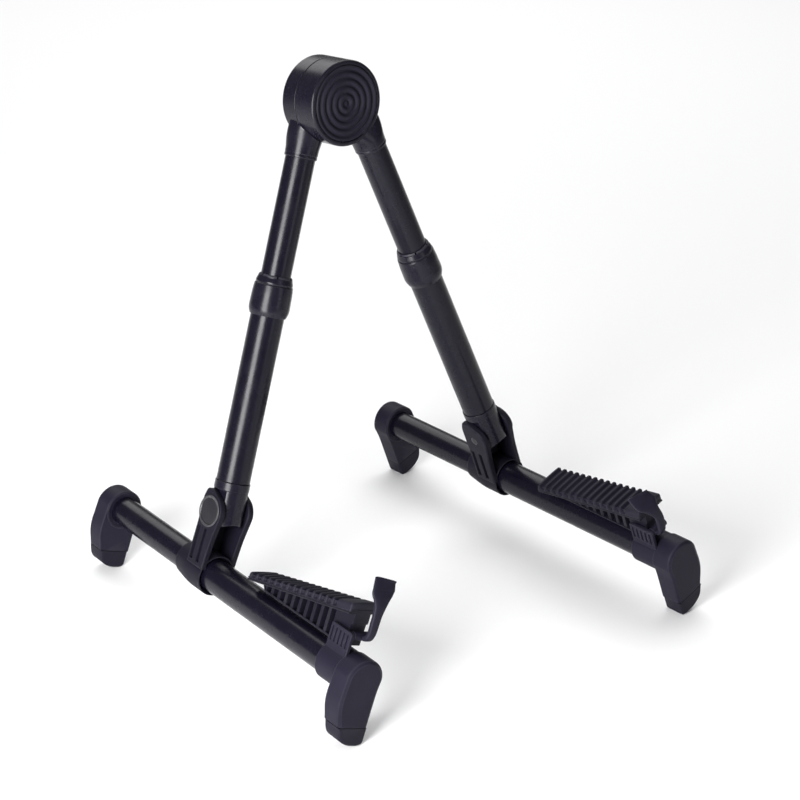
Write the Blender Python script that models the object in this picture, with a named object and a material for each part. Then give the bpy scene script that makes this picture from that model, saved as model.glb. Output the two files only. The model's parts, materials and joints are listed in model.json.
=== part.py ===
"""Folding guitar stand: an A frame of two telescopic legs on round feet, modelled in metres, Z up.

The player stands at -Y. Both legs hang from one hub, each folds on the yoke of its foot, and each
foot carries a ribbed cradle arm with a retaining hook. The stand rests on the soles of its four
foot caps, and the origin is on the floor in the middle of its bounding box.
"""
import math

import bpy
import bmesh
from mathutils import Matrix, Vector

# Stance
HUB_HEIGHT = 0.3775
LEG_SPREAD = math.radians(20.82)
FRAME_LEAN = math.radians(6.24)
TUBE_HEIGHT = 0.0484
PIVOT_HEIGHT = 0.0472
LEG_DEPTH_OFFSET = 0.0086
LEG_SIDE_OFFSET = 0.0105

# Clearances
FIT = 0.0003
RUNNING_FIT = 0.0005
OVERCUT = 0.001
BREAK = 0.0004

# Tubes
INNER_TUBE_RADIUS = 0.011
OUTER_TUBE_RADIUS = 0.0125
TUBE_WALL = 0.0012
UPPER_TUBE_LENGTH = 0.149
LOWER_TUBE_LENGTH = 0.1425
FRONT_TUBE_BACK = -0.0225
FRONT_TUBE_FRONT = 0.1805
REAR_TUBE_FRONT = 0.0255
REAR_TUBE_BACK = -0.1275

# Hub
HUB_RADIUS = 0.031
HUB_DEPTH = 0.036
HUB_SEAM = 0.003
HUB_SEAM_GAP = 0.0006
HUB_EDGE = 0.0013
PAD_RADIUS = 0.0273
PAD_GROOVE = 0.0006
PAD_RECESS = 0.0026
PAD_RINGS = 6
PAD_RING_HEIGHT = 0.0011
PAD_RING_START = 0.08
PAD_RING_END = 0.56
PAD_VALLEY = 0.82
PAD_PROUD = 0.00033
COVER_RADIUS = 0.022
COVER_THICKNESS = 0.0018
BOLT_RADIUS = 0.003
BOLT_HEAD_RADIUS = 0.0055
BOLT_HEAD_HEIGHT = 0.0045
NUT_FLATS = 0.010
NUT_HEIGHT = 0.005
NUT_POCKET_RADIUS = 0.0075
NUT_POCKET_DEPTH = 0.0067
BOLT_SOCKET_RADIUS = 0.0022
BOLT_SOCKET_DEPTH = 0.002
BOLT_SHOULDER = 0.003
THREAD_PAST_NUT = 0.0008
COVER_CROWN = 0.0009
WASHER_RADIUS = 0.024
WASHER_THICKNESS = 0.0007

# Leg sockets below the hub
SOCKET_LENGTH = 0.045
SOCKET_HALF_WIDTH = 0.01375
SOCKET_END_RADIUS = 0.0126
SOCKET_BORE_TOP = 0.0365
SOCKET_ROOT_OVERLAP = 0.0015
SPIGOT_LENGTH = 0.020
SPIGOT_CHAMFER = 0.001
SOCKET_FLAT_START = 0.018
SOCKET_FLAT_END = 0.030
SOCKET_BULGE = 0.0012

# Telescope: guide, collet and lock collar
GUIDE_LENGTH = 0.012
GUIDE_FLANGE = 0.0025
GUIDE_WALL = 0.002
COLLAR_GRIP = 0.0183
COLLAR_LENGTH = 0.0285
COLLAR_RADIUS = 0.015
COLLAR_FOOT_WALL = 0.0007
COLLAR_CHAMFER_LENGTH = 0.0055
COLLAR_SHOULDER_LENGTH = 0.011
COLLAR_GROOVE_START = 0.0045
COLLAR_GROOVE_WIDTH = 0.0018
COLLAR_GROOVE_DEPTH = 0.0006
COLLAR_TOP_RADIUS = 0.0136
COLLAR_STEP_GAP = 0.0026
COLLET_RISE = 0.0015
COLLET_WALL = 0.0011
COLLET_SLOTS = 6
COLLET_SLOT_WIDTH = 0.0012
COLLET_BASE = 0.003
COLLET_TIP_CHAMFER = 0.0012

# Fold knuckle on the leg
TONGUE_WIDTH = 0.0204
TONGUE_RADIUS = 0.0082
TONGUE_TOE = 0.0107
TONGUE_WAVE = 0.0045
TONGUE_HEEL = 0.0016
TONGUE_ARCH = 0.0022
TONGUE_FLARE = 0.001
SHOULDER_DISTANCE = 0.0172
KNUCKLE_SLEEVE_RADIUS = 0.0131
KNUCKLE_TOP = 0.0235
KNUCKLE_SPIGOT = 0.013
PIN_RADIUS = 0.0035

# Yoke on the foot, stations forward of the fold pivot
CHEEK_THICKNESS = 0.005
CHEEK_TOP_RADIUS = 0.0130
CHEEK_WAIST_FRONT = 0.0095
CHEEK_WAIST_BACK = 0.011
CHEEK_EDGE = 0.0011
CHEEK_NOSE_END = 78
CHEEK_LEDGE_FRONT = 0.0012
CHEEK_LEDGE_BACK = 0.0078
CHEEK_HEEL = 0.012
CHEEK_HEEL_TOP = 0.0085
CHEEK_FOOT = 0.001
CHEEK_FOOT_TAPER = 0.0008
CHEEK_WAIST_HEIGHT = 0.022
CHEEK_ROOT_DEPTH = 0.0013
WEB_THICKNESS = 0.0023
YOKE_FRONT = 0.009
YOKE_BACK = -0.0275
YOKE_RADIUS = 0.0155
YOKE_CONE_LENGTH = 0.017
YOKE_BACK_RADIUS = 0.0127
YOKE_LIP = 0.0035
CHEEK_GROOVE_WIDTH = 0.0028
CHEEK_GROOVE_DEPTH = 0.0011
CHEEK_GROOVE_BOTTOM = 0.008
CHEEK_GROOVE_TOP = 0.033
CHEEK_GROOVE_STATIONS = (-0.007, 0.001)
PIVOT_CAP_RADIUS = 0.0117
PIVOT_CAP_SINK = 0.0011
PIVOT_CAP_PROUD = 0.0011
PIVOT_CAP_RIM = 0.0016
PIVOT_CAP_DISH = 0.0006

# Foot caps and soles
CAP_RADIUS = 0.0157
CAP_INNER_REACH = 0.0145
CAP_OUTER_REACH = 0.0168
CAP_WAIST_DROP = 0.019
CAP_TOE_OFFSET = 0.0065
CAP_SHOULDER_DROP = 0.0076
CAP_CROWN_START = 5
CAP_CROWN_END = 168
CAP_CROWN_STEPS = 8
SOLE_PARTING = 0.034
SOLE_DEPTH = 0.048
SOLE_JOINT = 0.0005
SOLE_TOE_RADIUS = 0.005
SOLE_HEEL_RADIUS = 0.0025
SOLE_PLUG_INSET = 0.004
SOLE_PLUG_HEIGHT = 0.004
CAP_EDGE = 0.0014
FRONT_CAP_START = 0.1771
FRONT_CAP_DEPTH = 0.017
FRONT_CAP_NECK_START = 0.1545
CAP_NECK_RADIUS = 0.0147
REAR_CAP_START = -0.122
REAR_CAP_DEPTH = 0.0165
REAR_CAP_HOOD = 0.0135
REAR_CAP_HOOD_DEPTH = 0.0038

# Cradle arm, its ribbed pad and the bracket that carries them
ARM_BACK = 0.0575
ARM_FRONT = 0.1725
ARM_BACK_TOP = 0.0210
ARM_RISE = 0.200
ARM_THICKNESS = 0.003
ARM_HALF_WIDTH = 0.0105
ARM_TIP_RADIUS = 0.0014
ARM_RAIL_HALF_WIDTH = 0.0129
ARM_RAIL_DROP = 0.0019
ARM_RAIL_FOOT = 0.0028
FAN_BACK = 0.070
FAN_BACK_SLOPE = 0.004
FAN_BOTTOM = 0.0196
FAN_HALF_WIDTH = 0.0067
FAN_WEB_HALF = 0.002
FAN_FRAME = 0.0017
FAN_CROWN = 0.0007
FAN_RIB_PITCH = 0.0080
FAN_RIB_WIDTH = 0.0034
FAN_SLOT_LEAST = 0.0012
ARM_ROOT_HALF_WIDTH = 0.0069
ARM_ROOT_BACK = 0.158
ARM_ROOT_BOTTOM = 0.0178
ARM_CHIN_BACK = 0.0315
ARM_CHIN_FRONT = 0.034
PAD_FRONT_SMOOTH = 0.015
PAD_RIB_PITCH = 0.0070
PAD_RIB_HEIGHT = 0.0012
PAD_BACK_THICKNESS = 0.0014
PAD_FRONT_THICKNESS = 0.0040
PAD_SKIRT = 0.0016
PAD_WIDTH_OVER = 0.0012
PAD_CORNER = 0.0011
PAD_END_EDGE = 0.0012
PAD_TIP_BARE = 0.0016
BRACKET_BACK = 0.1555
BRACKET_FRONT = 0.1785
BRACKET_TOP = 0.0290
BRACKET_FOOT = 0.004
BRACKET_FRONT_RADIUS = 0.003
BRACKET_BACK_RADIUS = 0.0015
BRACKET_WALL = 0.0028
BRACKET_RIM = 0.0025
BRACKET_MARGIN = 0.002
BRACKET_COMB_PITCH = 0.0042
BRACKET_COMB_WIDTH = 0.0016
BRACKET_COMB_DEPTH = 0.0009
ARM_PIN_STATION = 0.163
ARM_PIN_HEIGHT = 0.0228
ARM_PIN_RADIUS = 0.002

# Retaining hook
HOOK_PIN_STATION = 0.1752
HOOK_PIN_HEIGHT = 0.0262
HOOK_PIN_RADIUS = 0.0016
HOOK_BARREL_RADIUS = 0.0032
HOOK_BARREL_GAP = 0.0012
HOOK_THICKNESS = 0.0038
HOOK_STEM_INNER = 0.0062
HOOK_STEM_OUTER = 0.0004
HOOK_HEAD_INNER = 0.0163
HOOK_STEM_FORWARD = 0.0078
HOOK_HEAD_BASE = 0.051
HOOK_TOP = 0.0695
HOOK_HEAD_LEAN = 0.0075
HOOK_NIB = 0.0013
HOOK_HEEL_SHARE = 0.55
HOOK_BEND = 0.0018
HOOK_BEND_TOP = 0.0065
HOOK_EDGE = 0.0008
HOOK_EDGE_SHARE = 0.65

# Facets of round pieces
HUB_STEPS = 32
TUBE_STEPS = 22
PIN_STEPS = 12
SMOOTH_ANGLE = math.radians(38)

SIDES = (("left", -1.0), ("right", 1.0))
HUB_BACK = HUB_DEPTH / 2
HUB_FRONT = -HUB_DEPTH / 2
OUTER_TUBE_BORE = OUTER_TUBE_RADIUS - TUBE_WALL
LEG_IN_FOOT = math.atan(math.tan(FRAME_LEAN) / math.cos(LEG_SPREAD))
LEG_DROP = math.cos(LEG_SPREAD) * math.cos(FRAME_LEAN)
SIDE_DROP = math.sin(LEG_SPREAD) * math.cos(FRAME_LEAN)
FOOT_UP = math.sqrt(1 - SIDE_DROP ** 2)


def clear_scene():
    """Remove every object that the scene starts with."""
    for old in list(bpy.data.objects):
        bpy.data.objects.remove(old, do_unlink=True)


def make_material(name, colour, roughness, metallic=0.0):
    """A Principled material with one plain colour."""
    look = bpy.data.materials.new(name)
    look.use_nodes = True
    shader = look.node_tree.nodes["Principled BSDF"]
    shader.inputs["Base Color"].default_value = (*colour, 1.0)
    shader.inputs["Roughness"].default_value = roughness
    shader.inputs["Metallic"].default_value = metallic
    return look


def make_empty(name, parent=None, location=(0, 0, 0), rotation=(0, 0, 0)):
    """A frame that carries pieces, placed in its parent's coordinates."""
    frame = bpy.data.objects.new(name, None)
    bpy.context.scene.collection.objects.link(frame)
    frame.parent = parent
    frame.location = location
    frame.rotation_euler = rotation
    return frame


def make_piece(name, bm, look, parent):
    """Turn a closed bmesh into a named object that stands in its parent's frame."""
    bmesh.ops.recalc_face_normals(bm, faces=bm.faces)
    if bm.calc_volume(signed=True) < 0:
        bmesh.ops.reverse_faces(bm, faces=bm.faces)
    mesh = bpy.data.meshes.new(name)
    bm.to_mesh(mesh)
    bm.free()
    mesh.shade_smooth()
    mesh.set_sharp_from_angle(angle=SMOOTH_ANGLE)
    mesh.materials.append(look)
    piece = bpy.data.objects.new(name, mesh)
    bpy.context.scene.collection.objects.link(piece)
    piece.parent = parent
    return piece


def attach(piece, tool, operation):
    """Add or cut a finished object with a Boolean, and hide that object."""
    tool.hide_render = True
    tool.display_type = 'WIRE'
    step = piece.modifiers.new(f"{operation.lower()} {tool.name}", 'BOOLEAN')
    step.operation = operation
    step.solver = 'EXACT'
    step.object = tool


def combine(piece, bm, operation):
    """Add or cut a closed shape that stands in the piece's own frame."""
    tool = make_piece(f"{piece.name}_tool_{len(piece.modifiers)}", bm, piece.data.materials[0], piece.parent)
    attach(piece, tool, operation)


def add(piece, bm):
    combine(piece, bm, 'UNION')


def cut(piece, bm):
    combine(piece, bm, 'DIFFERENCE')


def soften(piece, width, segments=2):
    """Round the sharp edges that the piece has so far."""
    bevel = piece.modifiers.new("soft edges", 'BEVEL')
    bevel.width = width
    bevel.segments = segments
    bevel.limit_method = 'ANGLE'
    bevel.angle_limit = math.radians(50)


def turned(profile, steps, closed=False, axis='Z'):
    """Spin a profile of (radius, station) points round the chosen axis.

    An open profile starts and ends on the axis. Stations run along +Z, +X or +Y.
    """
    bm = bmesh.new()
    verts = [bm.verts.new((radius, 0, station)) for radius, station in profile]
    ends = verts[1:] + verts[:1] if closed else verts[1:]
    edges = [bm.edges.new(pair) for pair in zip(verts, ends)]
    bmesh.ops.spin(bm, geom=verts + edges, cent=(0, 0, 0), axis=(0, 0, 1),
                   angle=math.tau, steps=steps, use_merge=True)
    bmesh.ops.remove_doubles(bm, verts=bm.verts, dist=1e-6)
    turns = {'Z': Matrix(), 'X': Matrix.Rotation(math.pi / 2, 4, 'Y'),
             'Y': Matrix.Rotation(-math.pi / 2, 4, 'X')}
    bm.transform(turns[axis])
    return bm


def rod(radius, start, end, steps, axis='Z', chamfer=0.0):
    """A solid round bar between two stations on an axis."""
    profile = [(0, start), (radius - chamfer, start), (radius, start + chamfer),
               (radius, end - chamfer), (radius - chamfer, end), (0, end)]
    if not chamfer:
        profile = [(0, start), (radius, start), (radius, end), (0, end)]
    return turned(profile, steps, axis=axis)


def ring(inner, outer, start, end, steps, axis='Z'):
    """A straight tube between two stations."""
    profile = [(inner, start), (outer, start), (outer, end), (inner, end)]
    return turned(profile, steps, closed=True, axis=axis)


def arc(centre, radius, start, end, steps):
    """Points on a circle from one angle to another, in degrees."""
    angles = [math.radians(start + (end - start) * i / steps) for i in range(steps + 1)]
    return [(centre[0] + radius * math.cos(a), centre[1] + radius * math.sin(a)) for a in angles]


def rounded(corners, steps=3):
    """Close an outline of (x, y, radius) corners with a tangent arc at each corner."""
    outline = []
    for i, (x, y, radius) in enumerate(corners):
        here = Vector((x, y))
        before = Vector(corners[i - 1][:2]) - here
        after = Vector(corners[(i + 1) % len(corners)][:2]) - here
        if radius <= 0:
            outline.append((x, y))
            continue
        half = before.angle(after) / 2
        reach = radius / math.tan(half)
        start = here + before.normalized() * reach
        end = here + after.normalized() * reach
        middle = here + (before.normalized() + after.normalized()).normalized() * radius / math.sin(half)
        sweep = (start - middle).angle_signed(end - middle)
        for k in range(steps + 1):
            spoke = (start - middle).copy()
            spoke.rotate(Matrix.Rotation(-sweep * k / steps, 2))
            outline.append(tuple(middle + spoke))
    return outline


def prism(outline, low, high, plane='YZ'):
    """Extrude a closed outline between two stations on the axis square to its plane.

    In plane YZ an outline point is (forward, up), and forward is -Y.
    In plane XZ it is (side, up), and the stations run forward.
    """
    bm = bmesh.new()
    if plane == 'YZ':
        verts = [bm.verts.new((low, -forward, up)) for forward, up in outline]
        step = Vector((high - low, 0, 0))
    else:
        verts = [bm.verts.new((side, -low, up)) for side, up in outline]
        step = Vector((0, low - high, 0))
    face = bm.faces.new(verts)
    grown = bmesh.ops.extrude_face_region(bm, geom=[face])
    moved = [item for item in grown["geom"] if isinstance(item, bmesh.types.BMVert)]
    bmesh.ops.translate(bm, verts=moved, vec=step)
    return bm


def block(side, forward, up):
    """A box given by its (low, high) span sideways, forward and up."""
    corners = [(forward[0], up[0]), (forward[1], up[0]), (forward[1], up[1]), (forward[0], up[1])]
    return prism(corners, *side)


def loft(sections):
    """Bridge rings of equal length, one after the other, and close both ends."""
    bm = bmesh.new()
    rings = [[bm.verts.new(point) for point in section] for section in sections]
    size = len(rings[0])
    for near, far in zip(rings, rings[1:]):
        for i in range(size):
            j = (i + 1) % size
            bm.faces.new((near[i], near[j], far[j], far[i]))
    bm.faces.new(rings[0][::-1])
    bm.faces.new(rings[-1])
    return bm


def moved(bm, x=0.0, y=0.0, z=0.0):
    """Shift a shape and hand it back."""
    bm.transform(Matrix.Translation((x, y, z)))
    return bm


def hub_housing(name, look, hub, profile):
    """One half of the hub, turned round the hub axis."""
    return make_piece(name, turned(profile, HUB_STEPS, closed=True, axis='Y'), look, hub)


def socket_sections(out, toward_seam):
    """Rings of a leg socket: a flat-backed root in the hub, a round mouth round the tube."""
    root = HUB_BACK - LEG_DEPTH_OFFSET - HUB_EDGE / 2
    bore = OUTER_TUBE_BORE + FIT
    full = bore + SOCKET_BULGE
    lip = SOCKET_END_RADIUS - BREAK
    stations = [(SOCKET_FLAT_START, SOCKET_HALF_WIDTH, root, bore),
                (SOCKET_FLAT_END, SOCKET_HALF_WIDTH, root, bore),
                (SOCKET_BORE_TOP, SOCKET_HALF_WIDTH, full, full),
                (SOCKET_LENGTH - 2 * BREAK, SOCKET_END_RADIUS, SOCKET_END_RADIUS, SOCKET_END_RADIUS),
                (SOCKET_LENGTH, lip, lip, lip)]
    rings = []
    for drop, width, away, toward in stations:
        section = []
        for i in range(TUBE_STEPS):
            angle = math.tau * i / TUBE_STEPS
            depth = toward if math.sin(angle) > 0 else away
            section.append((out * LEG_SIDE_OFFSET + width * math.cos(angle),
                            toward_seam * depth * math.sin(angle), -drop))
        rings.append(section)
    return rings


def add_socket(housing, leg, out, toward_seam):
    """Grow the leg socket from a hub half, clear of the other half, and bore it for its tube.

    The shapes stand in the leg's frame, so their hidden tools are parented to it.
    """
    neck = make_piece(f"{housing.name}_neck", loft(socket_sections(out, toward_seam)),
                      housing.data.materials[0], leg)
    overlap = HUB_RADIUS - SOCKET_ROOT_OVERLAP
    cut(neck, rod(overlap, -HUB_DEPTH, HUB_DEPTH, HUB_STEPS, axis='Y'))
    seam_face = toward_seam * (HUB_SEAM * toward_seam + LEG_DEPTH_OFFSET - HUB_SEAM_GAP)
    far_face = seam_face + toward_seam * HUB_DEPTH
    clear = HUB_RADIUS + RUNNING_FIT
    cut(neck, rod(clear, min(seam_face, far_face), max(seam_face, far_face), HUB_STEPS, axis='Y'))
    side = out * LEG_SIDE_OFFSET
    cut(neck, moved(rod(INNER_TUBE_RADIUS + FIT, -SOCKET_LENGTH - OVERCUT, -SOCKET_BORE_TOP,
                        TUBE_STEPS), x=side))
    spigot = INNER_TUBE_RADIUS - TUBE_WALL - FIT
    add(neck, moved(rod(spigot, -SOCKET_BORE_TOP - SPIGOT_LENGTH, -SOCKET_BORE_TOP + 2 * SPIGOT_CHAMFER,
                        TUBE_STEPS, chamfer=SPIGOT_CHAMFER), x=side))
    attach(housing, neck, 'UNION')


def build_hub(hub, legs, looks):
    """Two hub halves on one bolt, with a ringed rubber pad in front and a plain cover behind."""
    bore = BOLT_RADIUS + FIT
    front_seam = HUB_SEAM - HUB_SEAM_GAP / 2
    back_seam = HUB_SEAM + HUB_SEAM_GAP / 2
    washer_floor = back_seam - WASHER_THICKNESS - 2 * FIT
    pad_floor = HUB_FRONT + PAD_RECESS
    pocket = BOLT_HEAD_RADIUS + RUNNING_FIT
    head_floor = pad_floor + BOLT_HEAD_HEIGHT + 2 * FIT
    lip = PAD_RADIUS + PAD_GROOVE
    shoulder = bore + BOLT_SHOULDER
    front = hub_housing("hub_front_housing", looks["plastic"], hub, [
        (bore, front_seam), (shoulder, front_seam), (shoulder, washer_floor),
        (WASHER_RADIUS + FIT, washer_floor), (WASHER_RADIUS + FIT, front_seam),
        (HUB_RADIUS - BREAK, front_seam), (HUB_RADIUS, front_seam - BREAK),
        (HUB_RADIUS, HUB_FRONT + HUB_EDGE), (HUB_RADIUS - HUB_EDGE, HUB_FRONT),
        (lip + BREAK, HUB_FRONT), (lip, HUB_FRONT + BREAK), (lip, pad_floor),
        (pocket, pad_floor), (pocket, head_floor), (bore, head_floor)])
    add_socket(front, legs["right"], 1.0, 1.0)

    rings = [(0, pad_floor - FIT), (PAD_RADIUS, pad_floor - FIT)]
    pitch = PAD_RADIUS / (PAD_RINGS + 0.5)
    crest = HUB_FRONT - PAD_PROUD
    for i in range(PAD_RINGS):
        outside = PAD_RADIUS - i * pitch
        rings += [(outside - pitch * PAD_RING_START, crest), (outside - pitch * PAD_RING_END, crest),
                  (outside - pitch * PAD_VALLEY, crest + PAD_RING_HEIGHT)]
    rings += [(pitch / 2, crest), (0, crest)]
    make_piece("hub_front_pad", turned(rings, HUB_STEPS, axis='Y'), looks["rubber"], hub)

    cover_floor = HUB_BACK - COVER_THICKNESS
    nut_floor = cover_floor - NUT_POCKET_DEPTH
    rear = hub_housing("hub_rear_housing", looks["plastic"], hub, [
        (bore, back_seam), (HUB_RADIUS - BREAK, back_seam), (HUB_RADIUS, back_seam + BREAK),
        (HUB_RADIUS, HUB_BACK - HUB_EDGE), (HUB_RADIUS - HUB_EDGE, HUB_BACK),
        (COVER_RADIUS + FIT, HUB_BACK), (COVER_RADIUS + FIT, cover_floor),
        (NUT_POCKET_RADIUS, cover_floor), (NUT_POCKET_RADIUS, nut_floor), (bore, nut_floor)])
    add_socket(rear, legs["left"], -1.0, -1.0)
    cover = [(0, cover_floor + FIT), (COVER_RADIUS, cover_floor + FIT), (COVER_RADIUS, HUB_BACK),
             (COVER_RADIUS - BREAK, HUB_BACK + BREAK), (0, HUB_BACK + COVER_CROWN)]
    make_piece("hub_rear_cover", turned(cover, HUB_STEPS, axis='Y'), looks["plastic"], hub)

    make_piece("hub_friction_washer",
               ring(shoulder + RUNNING_FIT, WASHER_RADIUS, washer_floor + FIT,
                    washer_floor + FIT + WASHER_THICKNESS, HUB_STEPS, axis='Y'),
               looks["nylon"], hub)
    shank_end = nut_floor + NUT_HEIGHT + FIT + THREAD_PAST_NUT
    head_back = head_floor - FIT
    head_face = head_back - BOLT_HEAD_HEIGHT
    socket_floor = head_face + BOLT_SOCKET_DEPTH
    bolt = [(0, socket_floor), (BOLT_SOCKET_RADIUS, socket_floor), (BOLT_SOCKET_RADIUS, head_face),
            (BOLT_HEAD_RADIUS - BREAK, head_face), (BOLT_HEAD_RADIUS, head_face + BREAK),
            (BOLT_HEAD_RADIUS, head_back), (BOLT_RADIUS, head_back), (BOLT_RADIUS, shank_end - BREAK),
            (BOLT_RADIUS - BREAK, shank_end), (0, shank_end)]
    make_piece("hub_pivot_bolt", turned(bolt, PIN_STEPS, axis='Y'), looks["steel"], hub)
    corner = NUT_FLATS / 2 / math.cos(math.pi / 6)
    hexagon = arc((0, 0), corner, 0, 300, 5)
    nut = make_piece("hub_lock_nut", prism(hexagon, -nut_floor - FIT, -nut_floor - FIT - NUT_HEIGHT,
                                           plane='XZ'), looks["steel"], hub)
    cut(nut, rod(bore, nut_floor - OVERCUT, nut_floor + NUT_HEIGHT + FIT + OVERCUT, PIN_STEPS, axis='Y'))


def build_upper_leg(side, line, top, looks):
    """Thin upper tube with the plastic guide that runs inside the lower tube.

    `line` is a frame on the leg's centre line with Z up the leg, `top` the height of the tube end.
    """
    bottom = top - UPPER_TUBE_LENGTH
    bore = INNER_TUBE_RADIUS - TUBE_WALL
    make_piece(f"{side}_upper_tube", ring(bore, INNER_TUBE_RADIUS, bottom, top, TUBE_STEPS),
               looks["tube"], line)
    guide = bore - FIT
    hole = guide - GUIDE_WALL
    seat = bottom - FIT
    flange = seat - GUIDE_FLANGE
    profile = [(hole, flange), (INNER_TUBE_RADIUS - BREAK, flange), (INNER_TUBE_RADIUS, flange + BREAK),
               (INNER_TUBE_RADIUS, seat), (guide, seat), (guide, seat + GUIDE_LENGTH),
               (hole, seat + GUIDE_LENGTH)]
    make_piece(f"{side}_guide_plug", turned(profile, TUBE_STEPS, closed=True), looks["nylon"], line)


def build_lower_leg(side, line, looks):
    """Lower tube, its collet and twist collar, and the fold knuckle; Z runs up from the pivot."""
    tube_top = KNUCKLE_TOP + FIT + LOWER_TUBE_LENGTH
    make_piece(f"{side}_lower_tube",
               ring(OUTER_TUBE_BORE, OUTER_TUBE_RADIUS, KNUCKLE_TOP + FIT, tube_top, TUBE_STEPS),
               looks["tube"], line)

    run = INNER_TUBE_RADIUS + FIT
    finger = run + COLLET_WALL
    collar_bottom = tube_top - COLLAR_GRIP
    collar_top = collar_bottom + COLLAR_LENGTH
    chamfer_top = collar_bottom + COLLAR_CHAMFER_LENGTH
    shoulder = collar_top - COLLAR_SHOULDER_LENGTH
    groove = shoulder + COLLAR_GROOVE_START
    groove_top = groove + COLLAR_GROOVE_WIDTH
    brow = COLLAR_RADIUS - 2 * BREAK
    bore = OUTER_TUBE_RADIUS + FIT
    mouth = finger + FIT
    step = tube_top + COLLAR_STEP_GAP
    outside = [(bore, collar_bottom), (bore + COLLAR_FOOT_WALL, collar_bottom),
               (COLLAR_RADIUS - BREAK, chamfer_top), (COLLAR_RADIUS, chamfer_top + 2 * BREAK),
               (COLLAR_RADIUS, shoulder), (brow, groove - BREAK),
               (brow - COLLAR_GROOVE_DEPTH, groove), (brow - COLLAR_GROOVE_DEPTH, groove_top - BREAK),
               (brow, groove_top), (COLLAR_TOP_RADIUS, collar_top - BREAK),
               (COLLAR_TOP_RADIUS - BREAK, collar_top)]
    inside = [(mouth, collar_top), (mouth, step + BREAK), (bore, step - BREAK)]
    make_piece(f"{side}_lock_collar", turned(outside + inside, TUBE_STEPS, closed=True),
               looks["plastic"], line)

    base = tube_top + FIT
    tip = collar_top + COLLET_RISE
    profile = [(run, base), (finger, base), (finger, tip - COLLET_TIP_CHAMFER), (finger - BREAK, tip),
               (run, tip)]
    collet = make_piece(f"{side}_collet", turned(profile, TUBE_STEPS, closed=True),
                        looks["nylon"], line)
    for i in range(COLLET_SLOTS // 2):
        slot = block((-COLLET_SLOT_WIDTH / 2, COLLET_SLOT_WIDTH / 2), (-COLLAR_RADIUS, COLLAR_RADIUS),
                     (base + COLLET_BASE, tip + OVERCUT))
        slot.transform(Matrix.Rotation(math.pi * i / (COLLET_SLOTS // 2), 4, 'Z'))
        cut(collet, slot)

    half = TONGUE_WIDTH / 2
    back = arc((0, 0), TONGUE_RADIUS, 180, 215, 3)
    front = arc((0, 0), TONGUE_RADIUS, 325, 360, 3)
    root = TONGUE_RADIUS + TONGUE_FLARE
    tongue = [(-root, SHOULDER_DISTANCE + OVERCUT)] + back
    tongue += [(-TONGUE_WAVE, -TONGUE_TOE + TONGUE_HEEL), (0, -TONGUE_TOE + TONGUE_ARCH), (TONGUE_WAVE, -TONGUE_TOE)]
    tongue += front
    tongue += [(root, SHOULDER_DISTANCE + OVERCUT)]
    knuckle = make_piece(f"{side}_knuckle", prism(tongue, -half, half), looks["plastic"], line)
    spigot = OUTER_TUBE_BORE - FIT
    spigot_top = KNUCKLE_TOP + KNUCKLE_SPIGOT
    sleeve = [(0, SHOULDER_DISTANCE), (KNUCKLE_SLEEVE_RADIUS - 2 * BREAK, SHOULDER_DISTANCE),
              (KNUCKLE_SLEEVE_RADIUS, SHOULDER_DISTANCE + 2 * BREAK),
              (KNUCKLE_SLEEVE_RADIUS, KNUCKLE_TOP - BREAK), (KNUCKLE_SLEEVE_RADIUS - BREAK, KNUCKLE_TOP),
              (spigot, KNUCKLE_TOP), (spigot, spigot_top - SPIGOT_CHAMFER),
              (spigot - SPIGOT_CHAMFER, spigot_top), (0, spigot_top)]
    add(knuckle, turned(sleeve, TUBE_STEPS))
    cut(knuckle, rod(PIN_RADIUS + FIT, -half - OVERCUT, half + OVERCUT, PIN_STEPS, axis='X'))


def cheek_outline():
    """One yoke cheek as (forward, up) points about the fold pivot.

    A round nose faces forward, and the back rises to a ledge that stops the leg's shoulder.
    The ledge lies just under that shoulder, which leans back with the leg.
    """
    lean = LEG_IN_FOOT
    stop = SHOULDER_DISTANCE - FIT

    def on_shoulder(back):
        return (-back * math.cos(lean) - stop * math.sin(lean), stop * math.cos(lean) - back * math.sin(lean))

    nose = arc((0, 0), CHEEK_TOP_RADIUS, 0, CHEEK_NOSE_END, 7)
    ledge = [on_shoulder(CHEEK_LEDGE_FRONT), on_shoulder(CHEEK_LEDGE_BACK)]
    bottom = CHEEK_FOOT - PIVOT_HEIGHT
    heel = [(-CHEEK_HEEL, CHEEK_HEEL_TOP), (-CHEEK_WAIST_BACK, -CHEEK_HEEL), (-CHEEK_WAIST_BACK, bottom)]
    toe = [(CHEEK_WAIST_FRONT - CHEEK_FOOT_TAPER, bottom), (CHEEK_WAIST_FRONT, -CHEEK_WAIST_HEIGHT)]
    return nose + ledge + heel + toe


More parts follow.
